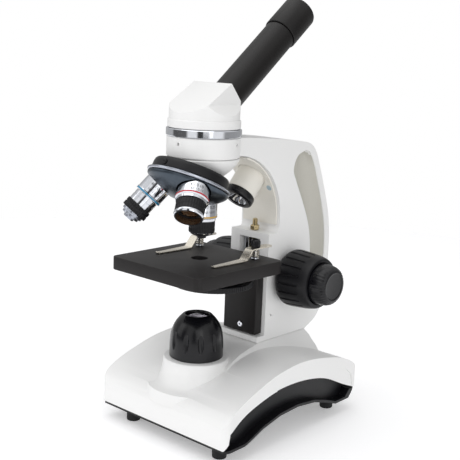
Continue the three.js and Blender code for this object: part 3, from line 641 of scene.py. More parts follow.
class MICROSCOPE_OT_arm(Operator):
    """Build the arm casting with its slot, throat, saddle and finger recesses"""

    bl_idname = "microscope.arm"
    bl_label = "Arm"

    def execute(self, context):
        edge = context.scene.microscope_castings.arm_edge / MM
        outline = [(56, 62.8), (108, 62.8), *smooth(list(reversed(ARM_BACK)), 5)[1:],
                   (0, 210.5), *arc(17.5, 160, 50.5, 90, 6, 40), *arc(65, 151, 3, 0, -90, 6),
                   (56, 148)]
        body = prism(outline, "X", -19.5, 19.5)
        body = eased(body, edge, 4, 60, lambda p: p.z > 64)
        toe = eased(block(-19.5, 19.5, 47, 57, 62.8, 67.2), 0.6, 2, 60, lambda p: p.y < 50)
        collar = turned([(0, 209.5), (25.9, 209.5), (26.8, 210.4), (26.8, 223.7), (26.2, 224.3),
                         (0, 224.3)])
        holes = [placed(rod(0.95, 0, 10, steps=24), shift(20.5, 62.9, 82.5), turn(-90, "Y")),
                 *[placed(rod(1.2, 0, 6, steps=24), turn(angle, "Z"), shift(27.5, 0, 219.6),
                          turn(-90, "Y")) for angle in (-88, 17, 180)]]
        casting = cut(fuse(body, toe, collar), block(-10.4, 10.4, 55, 91, 67.2, 143),
                      rod(11, 200, 230), placed(rod(4.9, -40, 40), KNOB_LINE, turn(90, "Y")),
                      grip_cutter(1), grip_cutter(-1),
                      placed(rod(2.4, 142, 149), STOP_LINE), *holes)
        # The recess faces take the greyed enamel: painted shade for the shadow inside the finger
        # recess.
        for face in casting.faces:
            x, y, z = face.calc_center_median()
            if 10.6 < abs(x) < 19.2 and y > 81 and 93 < z < 212 and abs(face.normal.x) > 0.3:
                face.material_index = 1
        put(casting, "arm_casting", "stand", [enamel(), "painted_shade_enamel"], ["arm"],
            edge=0.4)
        below = placed(block(-60, 60, -80, 80, -120, -26.8), TURRET)
        bowl = turned([(0, 190), (8, 191.5), (11.4, 193.1), (14.5, 195.2), (17.6, 197.5),
                       (20.5, 200), (22.9, 202.4), (24.8, 204.8), (26, 207), (26.6, 208.4),
                       (26.2, 209.2), (0, 209.2)])
        bowl = cut(bowl, below, rod(9.5, 180, 215))
        put(bowl, "nosepiece_seat", "stand", [enamel()], ["nosepiece_mount"],
            edge=0.4)
        skin = prism([*arc(17.5, 160, 50.2, 76, 6, 24), (67.7, 154), (66.4, 154),
                      *arc(17.5, 160, 48.9, 6, 76, 24)], "X", -16.9, 16.9)
        lining = cut(skin, placed(rod(11.8, 0, 60), LAMP_LINE))
        window = placed(rod(2.3, 48.7, 49.6, 0.15, 32), shift(13, 0, 0), THROAT_LINE,
                        turn(-62, "X"))
        put(joined(lining, painted(window, 1)), "throat_lining", "stand",
            ["moulded_white", "pale_window"], ["throat_cover"], edge=0.3)
        return {"FINISHED"}


class MICROSCOPE_OT_slide_rods(Operator):
    """Build the guide rods and the stop screw with its nut, and give the focus rack its brass"""

    bl_idname = "microscope.slide_rods"
    bl_label = "Rods, rack and stop"

    def execute(self, context):
        for side, x in (("left", -ROD_X), ("right", ROD_X)):
            put(rod(2.4, 67.5, 142.7, 0.4), f"ground_rod_{side}", "stand", ["chrome"],
                [f"guide_rod_{side}"], shift(x, ROD_Y, 0))
        turns = [(1.8 + 0.3 * (i % 2), 129.9 + 0.45 * i) for i in range(60)]
        stop = turned([(0, 129.6), *turns, (1.7, 156.9), (1.3, 157.4), (0, 157.4)], 32)
        put(stop, "stop_screw", "stand", ["brass"], ["stage_stop_screw"],
            STOP_LINE)
        nut = cut(rod(3.7, 148.3, 152, 0.35, 6), rod(2.5, 140, 160))
        put(nut, "stop_nut", "stand", ["brass"], ["stage_stop_nut"],
            STOP_LINE, edge=0.2)
        rack = bpy.data.objects["focus_rack"]
        rack.material_slots[0].material = stocked("brass")
        return {"FINISHED"}


# ---- Head and eyepiece ------------------------------------------------------------
class MICROSCOPE_OT_head(Operator):
    """Build the turning head with its chrome band and prism"""

    bl_idname = "microscope.head"
    bl_label = "Head"

    def execute(self, context):
        slope = math.tan(math.radians(32.6))
        fall = math.tan(math.radians(51)) * 40
        collar = turned([(0, 230.4), (25.9, 230.4), (26.5, 231), (26.5, 235.9), (25.8, 236.7),
                         (0, 236.7)])
        roof = prism([(-52.8, 262.5 - 60 * slope), (-52.8, 220), (47.2, 205),
                      (47.2, 262.5 - fall), (7.2, 262.5)], "X", -40, 40)
        waist = prism([(-40, 220), (40, 220), (26.5, 239), (22, 243.9), (19.1, 247.5),
                       (18.3, 280), (-18.3, 280), (-19.1, 247.5), (-22, 243.9), (-26.5, 239)],
                      "Y", -40, 40)
        post = eased(common(rod(25.6, 230.4, 275, steps=128), roof, waist), 1.3, 4, 28,
                     lambda p: p.z > 238)
        bore = placed(rod(11.8, -10, 30, steps=96), EYE_LINE)
        body = cut(fuse(collar, post), bore, block(-9.5, 9.5, -9.5, 9.5, 233, 251),
                   rod(9, 220, 235))
        put(body, "prism_house", "head", [enamel()], ["upper_head"],
            edge=0.3)
        put(ring(17, 27.4, 224.6, 230.1, 0.5, 128), "chrome_band", "stand", ["chrome"],
            ["head_band"])
        glass = prism([(-8, 235.6), (8, 235.6), (8, 244), (-2, 250), (-8, 247)], "X", -8, 8)
        put(glass, "deflecting_prism", "head", ["optical_glass"], ["prism"],
            edge=0.3)
        return {"FINISHED"}


class MICROSCOPE_OT_eyepiece(Operator):
    """Build the eyepiece tube, the eyepiece and its eye lens"""

    bl_idname = "microscope.eyepiece"
    bl_label = "Eyepiece"

    def execute(self, context):
        e, end = TUBE_END, TUBE_END + 29.8
        put(ring(11.9, 12.4, 0.3, e - 0.6, 0.2, 96), "eyepiece_tube", "head", ["tube_black"],
            ["eyetube"], EYE_LINE)
        cap = turned([(8, end - 6), (9.6, end - 3.9), (11, end - 2.4), (11.2, end - 0.3),
                      (11.5, end), (12.3, end), (13.1, end - 0.5), (13.45, end - 1.6),
                      (13.45, e + 1), (13.2, e + 0.3), (12.8, e), (11.6, e), (11.6, e - 30),
                      (10.2, e - 30), (10.2, e + 8), (8, e + 14), (8, end - 6)])
        put(cap, "eyepiece_barrel", "eyepiece", ["tube_black"], ["eyepiece"],
            EYE_LINE)
        lens = turned([(0, end - 13), (4, end - 12.6), (7.6, end - 11), (7.6, end - 8.5),
                       (6, end - 7.5), (3.4, end - 6.8), (0, end - 6.5)])
        put(lens, "eye_lens_glass", "eyepiece", ["optical_glass"], ["eye_lens"],
            EYE_LINE)
        return {"FINISHED"}


# ---- Turret and objectives --------------------------------------------------------
class MICROSCOPE_OT_turret(Operator):
    """Build the turning nosepiece: black disc, ribbed chrome ring, dish and centre screw"""

    bl_idname = "microscope.turret"
    bl_label = "Turret"

    def execute(self, context):
        disc = turned([(12, -34.6), (28.4, -34.6), (28.8, -34.2), (28.4, -30), (27.9, -28.2),
                       (27.1, -27.3), (12, -27.2), (12, -34.6)], 128)
        hole = placed(rod(2.2, -6, 6, steps=32), shift(0, -28, -31.8), turn(90, "X"))
        put(cut(disc, hole), "turret_disc", "nosepiece", ["satin_black"],
            ["nosepiece_disc"], TURRET)
        ribs = context.scene.microscope_optics.turret_ribs
        band = turned([(24, -37.5), (29.9, -37.5), (30.7, -37.1), (31.2, -36.5), (31.2, -35.7),
                       (30.6, -35.2), (29.8, -34.9), (24, -34.9), (24, -37.5)], ribs * 2)
        band = ribbed(band, ribs, 0.22, -36.8, -35.5, 30.9)
        put(band, "turret_ring", "nosepiece", ["satin_nickel"], ["nosepiece_ring"],
            TURRET)
        body = turned([(0, -37.8), (30.2, -37.8), (30.4, -38.1), (30.2, -39.3), (29.6, -40.3),
                       (28.6, -41.4), (25.6, -43.8), (22, -46), (17, -48.3), (12, -49.8),
                       (6, -50.7), (0, -51)], 160)
        seats = [placed(rod(radius, low, high, steps=steps), turn(azimuth, "Z"), turn(LEAN, "X"))
                 for radius, low, high, steps in ((12.3, -90, -47.2, 96), (8.2, -80, -20, 64))
                 for azimuth in SEATS]
        metal = lathe_turned("zinc_faced_satin", TURRET,
                             (linear("#5a626b"), linear("#444c54")), 0.9, 0.012, (0.28, 0.38))
        put(cut(body, *seats), "turret_dish", "nosepiece", [metal],
            ["nosepiece_dish"], TURRET, edge=0.3)
        screw = fuse(rod(1.9, -2.4, 0.8, 0.3, 32), rod(1.2, -4, 0, steps=24))
        screw = cut(screw, block(-2.2, 2.2, -0.25, 0.25, 0.2, 1))
        put(screw, "click_screw", "nosepiece", ["satin_black"], ["nosepiece_screw"],
            TURRET @ shift(0, -28.6, -31.8) @ turn(90, "X"))
        return {"FINISHED"}


def engraved(words, radius, middle, low, height):
    """Digits wrapped round a barrel, standing a hair proud, as black filled engraving."""
    text = bpy.data.curves.new("digits", "FONT")
    text.body = words
    text.size = height
    text.align_x = "CENTER"
    holder = bpy.data.objects.new("digits", text)
    bpy.context.scene.collection.objects.link(holder)
    bpy.context.view_layer.update()
    flat = holder.evaluated_get(bpy.context.evaluated_depsgraph_get()).to_mesh()
    bm = bmesh.new()
    bm.from_mesh(flat)
    bpy.data.objects.remove(holder)
    bpy.data.curves.remove(text)
    bmesh.ops.remove_doubles(bm, verts=bm.verts[:], dist=1e-4)
    bmesh.ops.subdivide_edges(bm, edges=[e for e in bm.edges if e.calc_length() > 0.9], cuts=2)
    bmesh.ops.triangulate(bm, faces=bm.faces[:])
    for vert in bm.verts:
        angle = math.radians(middle) + vert.co.x / radius
        vert.co = (radius * math.cos(angle), radius * math.sin(angle), low + vert.co.y)
    grown = bmesh.ops.extrude_face_region(bm, geom=bm.faces[:])["geom"]
    proud = 1 + 0.07 / radius
    for vert in (part for part in grown if isinstance(part, bmesh.types.BMVert)):
        vert.co.x *= proud
        vert.co.y *= proud
    bmesh.ops.recalc_face_normals(bm, faces=bm.faces[:])
    return painted(bm, 3)


def barrel(profile, band, grip, bore, mouth):
    """An objective's metal, hollow, with its coloured band and its ribbed black grip. The
    grip is given by its radius and the depths of its two ends."""
    low, high = -grip[2], -grip[1]
    ribs = bpy.context.scene.microscope_optics.grip_ribs
    depth = [(radius, -down) for radius, down in profile]
    skin = turned([(bore, 1.8), (7.6, 1.8), (7.9, 1.5), (7.9, -0.3), *depth,
                   (mouth, depth[-1][1]), (mouth, low + 2), (bore, low + 2), (bore, 1.8)])
    r = grip[0]
    collar = turned([(r - 1.4, low + 0.05), (r - 0.3, low + 0.05), (r, low + 0.4), (r, low + 3),
                     (r - 0.35, low + 3.3), (r - 0.35, low + 3.7), (r, low + 4),
                     (r, high - 0.4), (r - 0.3, high - 0.05), (r - 1.4, high - 0.05),
                     (r - 1.4, low + 0.05)], ribs * 2)
    ribbed(collar, ribs, 0.55, low + 0.2, high - 0.2, r - 0.1)
    painted(skin, 2, lambda x, y, z: -band[1] < z < -band[0] and math.hypot(x, y) > bore + 1)
    return joined(skin, painted(collar, 1))


class MICROSCOPE_OT_objectives(Operator):
    """Build the three objectives with their grips, colour rings and lenses"""

    bl_idname = "microscope.objectives"
    bl_label = "Objectives"

    def execute(self, context):
        low, mid, high = (objective_line(azimuth) for azimuth in (-120, 0, 120))
        body = barrel([(11, 0.3), (11.3, 0.6), (11.3, 8), (11.6, 8.3), (11.9, 8.6), (11.9, 8.8),
                       (11.75, 8.85), (11.75, 9.95), (11.9, 10), (11.9, 10.2), (11.6, 10.5),
                       (10.9, 10.8), (10.8, 12.6), (9.5, 12.8), (9.5, 21.4), (10.2, 21.5),
                       (10.6, 21.8), (10.6, 22.8), (10.3, 23.4), (9.9, 24), (9.2, 24)],
                      (8.82, 9.98), (10.4, 12.8, 21.4), 6.2, 8.8)
        painted(body, 1, lambda x, y, z: math.hypot(x, y) < 8.9 and -23.8 < z < -15)
        painted(body, 4, lambda x, y, z: 8.5 < math.hypot(x, y) < 8.9 and -23.8 < z < -15)
        words = [engraved("4 / 0.10", 11.31, 80, -4.6, 3.2),
                 engraved("160 / 0.17", 11.31, 80, -7.6, 2.6)]
        self.metal(context, joined(body, *words), "low", "4x", "red", low, "dark_glass")
        self.lens([(0, -20.6), (2, -20.5), (4.2, -20.1), (5.8, -19.4), (6.1, -18.6),
                   (6.1, -17.4), (0, -16.6)], 64, "low", "4x", "nosepiece", low)
        body = barrel([(10.6, 0.3), (10.9, 0.6), (10.9, 10.6), (11.2, 11.1), (11.2, 11.35),
                       (11.05, 11.4), (11.05, 12.5), (11.2, 12.55), (11.2, 12.8), (10.9, 13.1),
                       (10.3, 13.4), (10.2, 15.2), (8.8, 15.4), (8.8, 24.1), (9.3, 24.3),
                       (9.2, 24.7), (8.2, 25.6), (6.2, 26.6), (3.8, 27.4), (3.4, 28.6),
                       (2.6, 28.6)], (11.38, 12.52), (9.7, 15.4, 24), 2.1, 2.3)
        words = [engraved("10 / 0.25", 10.91, -18, -5.4, 3.2),
                 engraved("160 / 0.17", 10.91, -18, -9, 2.4)]
        self.metal(context, joined(body, *words), "middle", "10x", "yellow", mid)
        self.lens([(0, -28.2), (1.2, -28.1), (2, -27.6), (2, -26.2), (0, -26.2)], 32, "middle",
                  "10x", "nosepiece", mid)
        body = barrel([(10, 0.3), (10.3, 0.6), (10.3, 11.4), (10.7, 11.9), (10.7, 12.15),
                       (10.55, 12.2), (10.55, 13.3), (10.7, 13.35), (10.7, 13.6), (10.2, 13.9),
                       (9.2, 14), (9.2, 17.2), (9, 17.4), (9, 17.8), (9.2, 18), (9.2, 22),
                       (8.9, 22.2), (8.9, 28.6), (8.7, 28.8), (8.65, 28.8)],
                      (12.18, 13.32), (9.9, 22.2, 28.8), 6.3, 8.6)
        words = [engraved("40 / 0.65", 10.31, -156, -5.6, 3.2),
                 engraved("160 / 0.17", 10.31, -156, -9.6, 2.6)]
        self.metal(context, joined(body, *words), "high", "40x", "blue", high)
        nose = turned([(1.7, -34.6), (3.7, -34.6), (4, -34.3), (4.4, -33.2), (6.5, -32.8),
                       (6.8, -32.5), (7, -31.2), (8, -30.8), (8.3, -30.4), (8.3, -28.6),
                       (6, -28.6), (6, -18), (4.6, -18), (4.6, -30), (1.7, -32.6),
                       (1.7, -34.6)])
        put(nose, "high_power_nose", "sprung_nose", ["satin_nickel"], ["objective_40x_nose"],
            high)
        self.lens([(0, -34.2), (0.9, -34.1), (1.4, -33.8), (1.4, -32.6), (0, -32.6)], 32, "high",
                  "40x", "sprung_nose", high)
        return {"FINISHED"}

    def metal(self, context, body, power, size, colour, line, *more):
        ring_tint = getattr(context.scene.microscope_optics, colour)
        put(body, f"objective_{power}_power", "nosepiece",
            ["chrome", "satin_black", ring_paint(f"cellulose_{colour}", ring_tint), "black_fill",
             *more], [f"objective_{size}_barrel"], line)

    def lens(self, profile, steps, power, size, body, line):
        put(turned(profile, steps), f"{power}_power_lens", body, ["dark_glass"],
            [f"objective_{size}_lens"], line)


# ---- Stage ------------------------------------------------------------------------
class MICROSCOPE_OT_stage_plate(Operator):
    """Build the square stage, its bracket on the slide, and the condenser lens"""

    bl_idname = "microscope.stage_plate"
    bl_label = "Stage"

    def execute(self, context):
        plate = prism(rounded_plan(-45, 45, -47.2, 43.6, 5), "Z", 124.3, 134.1)
        plate = eased(plate, 0.7, 3, 60)
        holes = [placed(rod(2.2, 100, 200, steps=32), shift(x, CLIP_Y, 0))
                 for x in (-CLIP_X, CLIP_X)]
        socket = placed(rod(2.3, 0, 130.1, steps=32), PIVOT_LINE)
        hole = turned([(0, 100), (6.2, 100), (6.2, 133.7), (6.6, 134.2), (6.6, 200), (0, 200)])
        plate = cut(fuse(plate, rod(13, 119.7, 125.3)), hole, rod(9.2, 0, 131.1), socket, *holes)
        put(plate, "stage_table", "stage", ["wrinkle_black"], ["stage_plate"],
            edge=0.25)
        upright = eased(block(-16.6, 16.6, 47.5, 55.6, 68.4, 124), 0.9, 3, 60,
                        lambda p: p.z < 123.5)
        slide = block(-10.1, 10.1, 54.6, 70.5, 84, 121)
        rods = [placed(rod(2.7, 0, 200, steps=32), shift(x, ROD_Y, 0)) for x in (-ROD_X, ROD_X)]
        thread = placed(rod(2.6, 0, 15, steps=32), shift(1, 40, 74.2), turn(-90, "X"))
        angle = cut(fuse(upright, cut(slide, *rods)), thread)
        put(angle, "stage_angle", "stage", ["wrinkle_black"], ["stage_bracket"],
            edge=0.25)
        screw = turned([(0, -0.5), (1.9, -0.5), (2.3, -0.1), (2.3, 7), (0, 7)], 48)
        socket = rod(1.1, -2, 0.6, steps=6)
        put(cut(screw, socket), "angle_screw", "stage", ["chrome"], ["bracket_screw"],
            shift(1, 47.5, 74.2) @ turn(-90, "X"))
        lens = turned([(0, 121), (8.8, 121), (8.8, 123.6), (7.6, 125), (5.2, 126.4),
                       (2.6, 127.1), (0, 127.4)])
        put(lens, "condenser_glass", "stage", ["optical_glass"], ["condenser_lens"])
        pivot = fuse(rod(2, 111, 129.8), rod(4.2, 109.6, 111.7, 0.4))
        put(cut(pivot, block(-5, 5, -0.4, 0.4, 109, 110.3)), "diaphragm_screw", "stage",
            ["chrome"], ["diaphragm_pivot"], PIVOT_LINE)
        return {"FINISHED"}


class MICROSCOPE_OT_diaphragm(Operator):
    """Build the disc diaphragm with its six openings and milled rim"""

    bl_idname = "microscope.diaphragm"
    bl_label = "Diaphragm"

    def execute(self, context):
        disc = turned([(2.3, 112), (30.3, 112), (31, 112.5), (31, 115.9), (30.3, 116.4),
                       (2.3, 116.4), (2.3, 112)], 200)
        disc = ribbed(disc, 100, 0.4, 112.2, 116.2, 30.6)
        stops = [placed(rod(radius, 100, 130, steps=32), turn(60 * i, "Z"), shift(0, -15, 0))
                 for i, radius in enumerate((1.5, 2.5, 3.5, 4.5, 5.5, 6.2))]
        put(cut(disc, *stops), "diaphragm_wheel", "diaphragm", ["satin_black"],
            ["diaphragm_disc"], PIVOT_LINE)
        return {"FINISHED"}


class MICROSCOPE_OT_clips(Operator):
    """Build the two spring clips with their posts, coil springs and knobs"""

    bl_idname = "microscope.clips"
    bl_label = "Slide clips"

    def execute(self, context):
        for side, x in (("left", -CLIP_X), ("right", CLIP_X)):
            spot = shift(x, CLIP_Y, 0)
            post = turned([(0, 128.1), (1.9, 128.1), (1.9, 134.4), (2.7, 134.4), (3, 134.7),
                           (3, 135), (2.8, 135.2), (1.9, 135.2), (1.9, 147.7), (1.6, 148),
                           (0, 148)], 40)
            put(post, f"post_{side}", "stage", ["chrome"], [f"clip_post_{side}"],
                spot)
            put(self.coil(), f"coil_spring_{side}", "stage", ["spring_steel"],
                [f"clip_spring_{side}"], spot)
            put(self.strip(), f"spring_strip_{side}", f"{side}_clip", ["spring_steel"],
                [f"clip_{side}"], shift(x, 0, 0), edge=0.15)
            knob = turned([(2.2, 143.4), (3.4, 143.4), (3.8, 143.8), (3.8, 147.9),
                           (3.2, 148.7), (2.6, 149.3), (2.2, 149.4), (2.2, 143.4)], 48)
            knob = ribbed(knob, 24, 0.4, 143.6, 148.2, 3.5)
            put(knob, f"milled_knob_{side}", f"{side}_clip", ["phenolic_black"],
                [f"clip_knob_{side}"], spot)
        return {"FINISHED"}

    def coil(self):
        wire = bmesh.new()
        bmesh.ops.create_circle(wire, cap_ends=False, radius=0.4, segments=8)
        bmesh.ops.rotate(wire, cent=(0, 0, 0), matrix=Matrix.Rotation(math.pi / 2, 3, "X"),
                         verts=wire.verts)
        bmesh.ops.translate(wire, vec=(2.6, 0, 135.9), verts=wire.verts)
        start = [*wire.verts, *wire.edges]
        bmesh.ops.spin(wire, geom=start, cent=(0, 0, 0), axis=(0, 0, 1),
                       dvec=(0, 0, 5.5 / 96), angle=math.tau * 4, steps=96)
        bmesh.ops.holes_fill(wire, edges=[e for e in wire.edges if e.is_boundary], sides=0)
        return close_up(wire)

    def strip(self):
        tail, tip, low = 46.6, -16.8, 134.4
        lower = smooth([(tail, 142.2), (30, 142.2), (24.4, 142.2)], 2)
        lower += smooth([(23.2, 141.9), (20.3, 138.3), (17.6, 135), (16.2, 134.5)], 4)
        lower += [(0, low), (-12, low), (tip + 1.8, low), (tip + 0.3, low + 0.5), (tip, low + 1.2)]
        upper = [(tip + 0.8, low + 1.5), (tip + 2, low + 0.9), (-12, low + 0.9), (0, low + 0.9),
                 (16, 135.4)]
        upper += [(17, 135.9), (19.5, 138.9), (22.4, 142.5), (23.8, 143.1), (30, 143.1),
                  (tail, 143.1)]
        plan = [*arc(0, tail - 3.8, 3.8, 0, 180, 16), (-3.8, 17), (-2.2, tip + 4),
                *arc(0, tip + 2.2, 2.2, 180, 360, 10), (2.2, tip + 4), (3.8, 17)]
        sheet = common(prism([*lower, *upper], "X", -6, 6), prism(plan, "Z", 130, 150))
        return cut(sheet, placed(rod(2.3, 120, 160), shift(0, CLIP_Y, 0)))


# ---- Focus knobs ------------------------------------------------------------------
class MICROSCOPE_OT_knobs(Operator):
    """Build the coarse and fine focus knobs on both sides, and give their shafts satin nickel"""

    bl_idname = "microscope.knobs"
    bl_label = "Focus knobs"

    def execute(self, context):
        for side, angle in (("left", -90), ("right", 90)):
            line = KNOB_LINE @ turn(angle, "Y")
            put(self.coarse(context), f"coarse_knob_shell_{side}", "coarse_focus",
                ["satin_black"], [f"coarse_knob_{side}"], line, edge=0.2)
            put(self.fine(context), f"fine_knob_dome_{side}", "fine_focus",
                ["phenolic_black"], [f"fine_knob_{side}"], line)
        for name in ("coarse_shaft", "fine_shaft"):
            bpy.data.objects[name].material_slots[0].material = stocked("satin_nickel")
        return {"FINISHED"}

    def coarse(self, context):
        slots = context.scene.microscope_controls.slots
        body = turned([(4.3, 22.6), (17, 22.6), (18.4, 22.8), (20.2, 23.6), (21.4, 24.9),
                       (22.2, 26.6), (22.5, 28.4), (22.45, 31), (22, 37), (21.4, 44),
                       (20.9, 47.4), (20.3, 50.2), (19.9, 51.6), (19.2, 52.7), (18.4, 53),
                       (16.9, 53), (16.6, 52.7), (16.6, 50.6), (4.3, 50.6), (4.3, 22.6)], 160)
        tools = [placed(rod(1.05, -9.4, 9.4, 0.5, 16), turn(360 * i / slots, "Z"),
                        shift(22, 0, 36.8), turn(-3.4, "Y")) for i in range(slots)]
        return cut(body, joined(*tools))

    def fine(self, context):
        ribs = context.scene.microscope_controls.fine_ribs
        dome = turned([(0, 51), (15.7, 51), (16.2, 51.5), (16.2, 53.4), (16.15, 55.5),
                       (15.95, 58), (15.6, 60.2), (15.1, 62), (14.4, 63.6), (13.5, 64.8),
                       (12.4, 65.5), (11.2, 65.8), (10.8, 65.8), (10.3, 65.4), (9.6, 65.3),
                       (0, 65.3)], ribs * 4)
        for vert in dome.verts:
            x, y, z = vert.co
            r = math.hypot(x, y)
            if 53 < z < 65 and r > 13:
                wave = 0.5 - 0.5 * math.cos(math.atan2(y, x) * ribs)
                depth = 0.12 + 0.5 * max(0, (z - 58) / 7)
                vert.co.x -= depth * wave * x / r
                vert.co.y -= depth * wave * y / r
        return dome


# ---- Lamps ------------------------------------------------------------------------
class MICROSCOPE_OT_lower_lamp(Operator):
    """Build the fluted lamp cap on the base with its lens and LED"""

    bl_idname = "microscope.lower_lamp"
    bl_label = "Lower lamp"

    def execute(self, context):
        flutes = context.scene.microscope_controls.flutes
        rise = [(20.3 - 9.7 * (i / 20) ** 4, 59.1 + 32.3 * i / 20) for i in range(1, 20)]
        outer = turned([(17, 59.1), (19.9, 59.1), (20.3, 59.5), *rise, (11, 91.1), (10.3, 91.4),
                        (9.4, 91.3), (8.9, 90.7), (8.8, 90), (8.8, 86), (15, 78), (17, 66),
                        (17, 59.1)], 176)
        scoops = []
        for i in range(flutes):
            scoop = bmesh.new()
            bmesh.ops.create_uvsphere(scoop, u_segments=20, v_segments=14, radius=1)
            placed(scoop, turn(360 * i / flutes - 3.9, "Z"), shift(20.5, 0, 73.6),
                   turn(-5, "Y"), Matrix.Diagonal((2, 2.5, 8.4, 1)))
            scoops.append(scoop)
        cap = eased(cut(outer, joined(*scoops)), 0.4, 3, 34, lambda p: 64 < p.z < 84)
        put(cap, "lamp_cap", "stand", ["phenolic_black"], ["illuminator_cap"])
        lens = turned([(0, 86.4), (8.4, 86.4), (8.4, 88.3), (7.9, 88.9), (6.6, 89.7),
                       (5, 90.4), (3.4, 90.9), (1.7, 91.1), (0, 91.2)])
        put(lens, "lamp_lens", "stand", ["optical_glass"], ["illuminator_lens"])
        board = turned([(0, 59.2), (14, 59.2), (14, 61), (3.2, 61), (3.2, 64), (3, 64.9),
                        (2, 65.8), (1, 66.1), (0, 66.2)], 64)
        painted(board, 1, lambda x, y, z: 61.1 < z < 70)
        put(board, "lamp_board", "stand", ["led_board", "led_lens"], ["illuminator_led"])
        return {"FINISHED"}


class MICROSCOPE_OT_upper_lamp(Operator):
    """Build the lamp in the throat: housing, bezel, reflector and LED"""

    bl_idname = "microscope.upper_lamp"
    bl_label = "Upper lamp"

    def execute(self, context):
        throat = placed(rod(50.2, -30, 30, steps=160), LAMP_LINE.inverted(),
                        THROAT_LINE, turn(90, "Y"))
        housing = common(ring(8.5, 11.5, 6, 40, 0.3), throat)
        put(housing, "lamp_housing", "stand", ["moulded_white"], ["upper_lamp_housing"],
            LAMP_LINE)
        bezel = turned([(8.2, 0), (8.6, 0), (10.9, 0), (11.6, 0.3), (12.1, 0.9), (12.3, 1.6),
                        (12.3, 5.2), (12, 5.7), (8.2, 5.7), (8.2, 0)])
        put(bezel, "lamp_bezel", "stand", ["phenolic_black"], ["upper_lamp_bezel"],
            LAMP_LINE)
        bowl = turned([(2.6, 6.2), (3.2, 6.2), (4.6, 4.9), (6.2, 3.2), (7.3, 1.8), (7.9, 1),
                       (7.9, 1.8), (6.6, 4.6), (3.6, 8.2), (2.6, 8.2), (2.6, 6.2)], 48)
        bowl = ribbed(bowl, 24, 0.25, 1.2, 5.6, 3.8)
        put(bowl, "lamp_reflector", "stand", ["chrome"], ["upper_lamp_reflector"],
            LAMP_LINE, crease=60)
        lamp = turned([(0, 4.6), (1, 4.8), (1.6, 5.2), (2.1, 6), (2.2, 7), (2.2, 8.6), (7, 8.6),
                       (7, 10), (0, 10)], 48)
        put(lamp, "lamp_diode", "stand", ["led_lens"], ["upper_lamp_led"],
            LAMP_LINE)
        return {"FINISHED"}


# ---- Studio -----------------------------------------------------------------------
def paper(name, colour):
    """Seamless background paper: matt and even, with the slightest tooth."""
    return finish(name, (colour, [0.99 * c for c in colour]), (0.9, 0.95), 2.0, 0.01,
                  {"Specular IOR Level": 0.2, "Emission Color": (1, 1, 1, 1),
                   "Emission Strength": 0.3})


def softbox(name, power, size, spot, aim):
    """A rectangular lamp behind white cloth, turned to face a point."""
    lamp = bpy.data.lights.new(name, "AREA")
    lamp.shape = "RECTANGLE"
    lamp.energy = power
    lamp.size, lamp.size_y = size
    holder = bpy.data.objects.new(name, lamp)
    bpy.context.scene.collection.objects.link(holder)
    away = (Vector(spot) - Vector(aim)).to_track_quat("Z", "Y")
    holder.matrix_world = Matrix.LocRotScale(Vector(spot), away, None)
    holder.visible_camera = False
    return holder


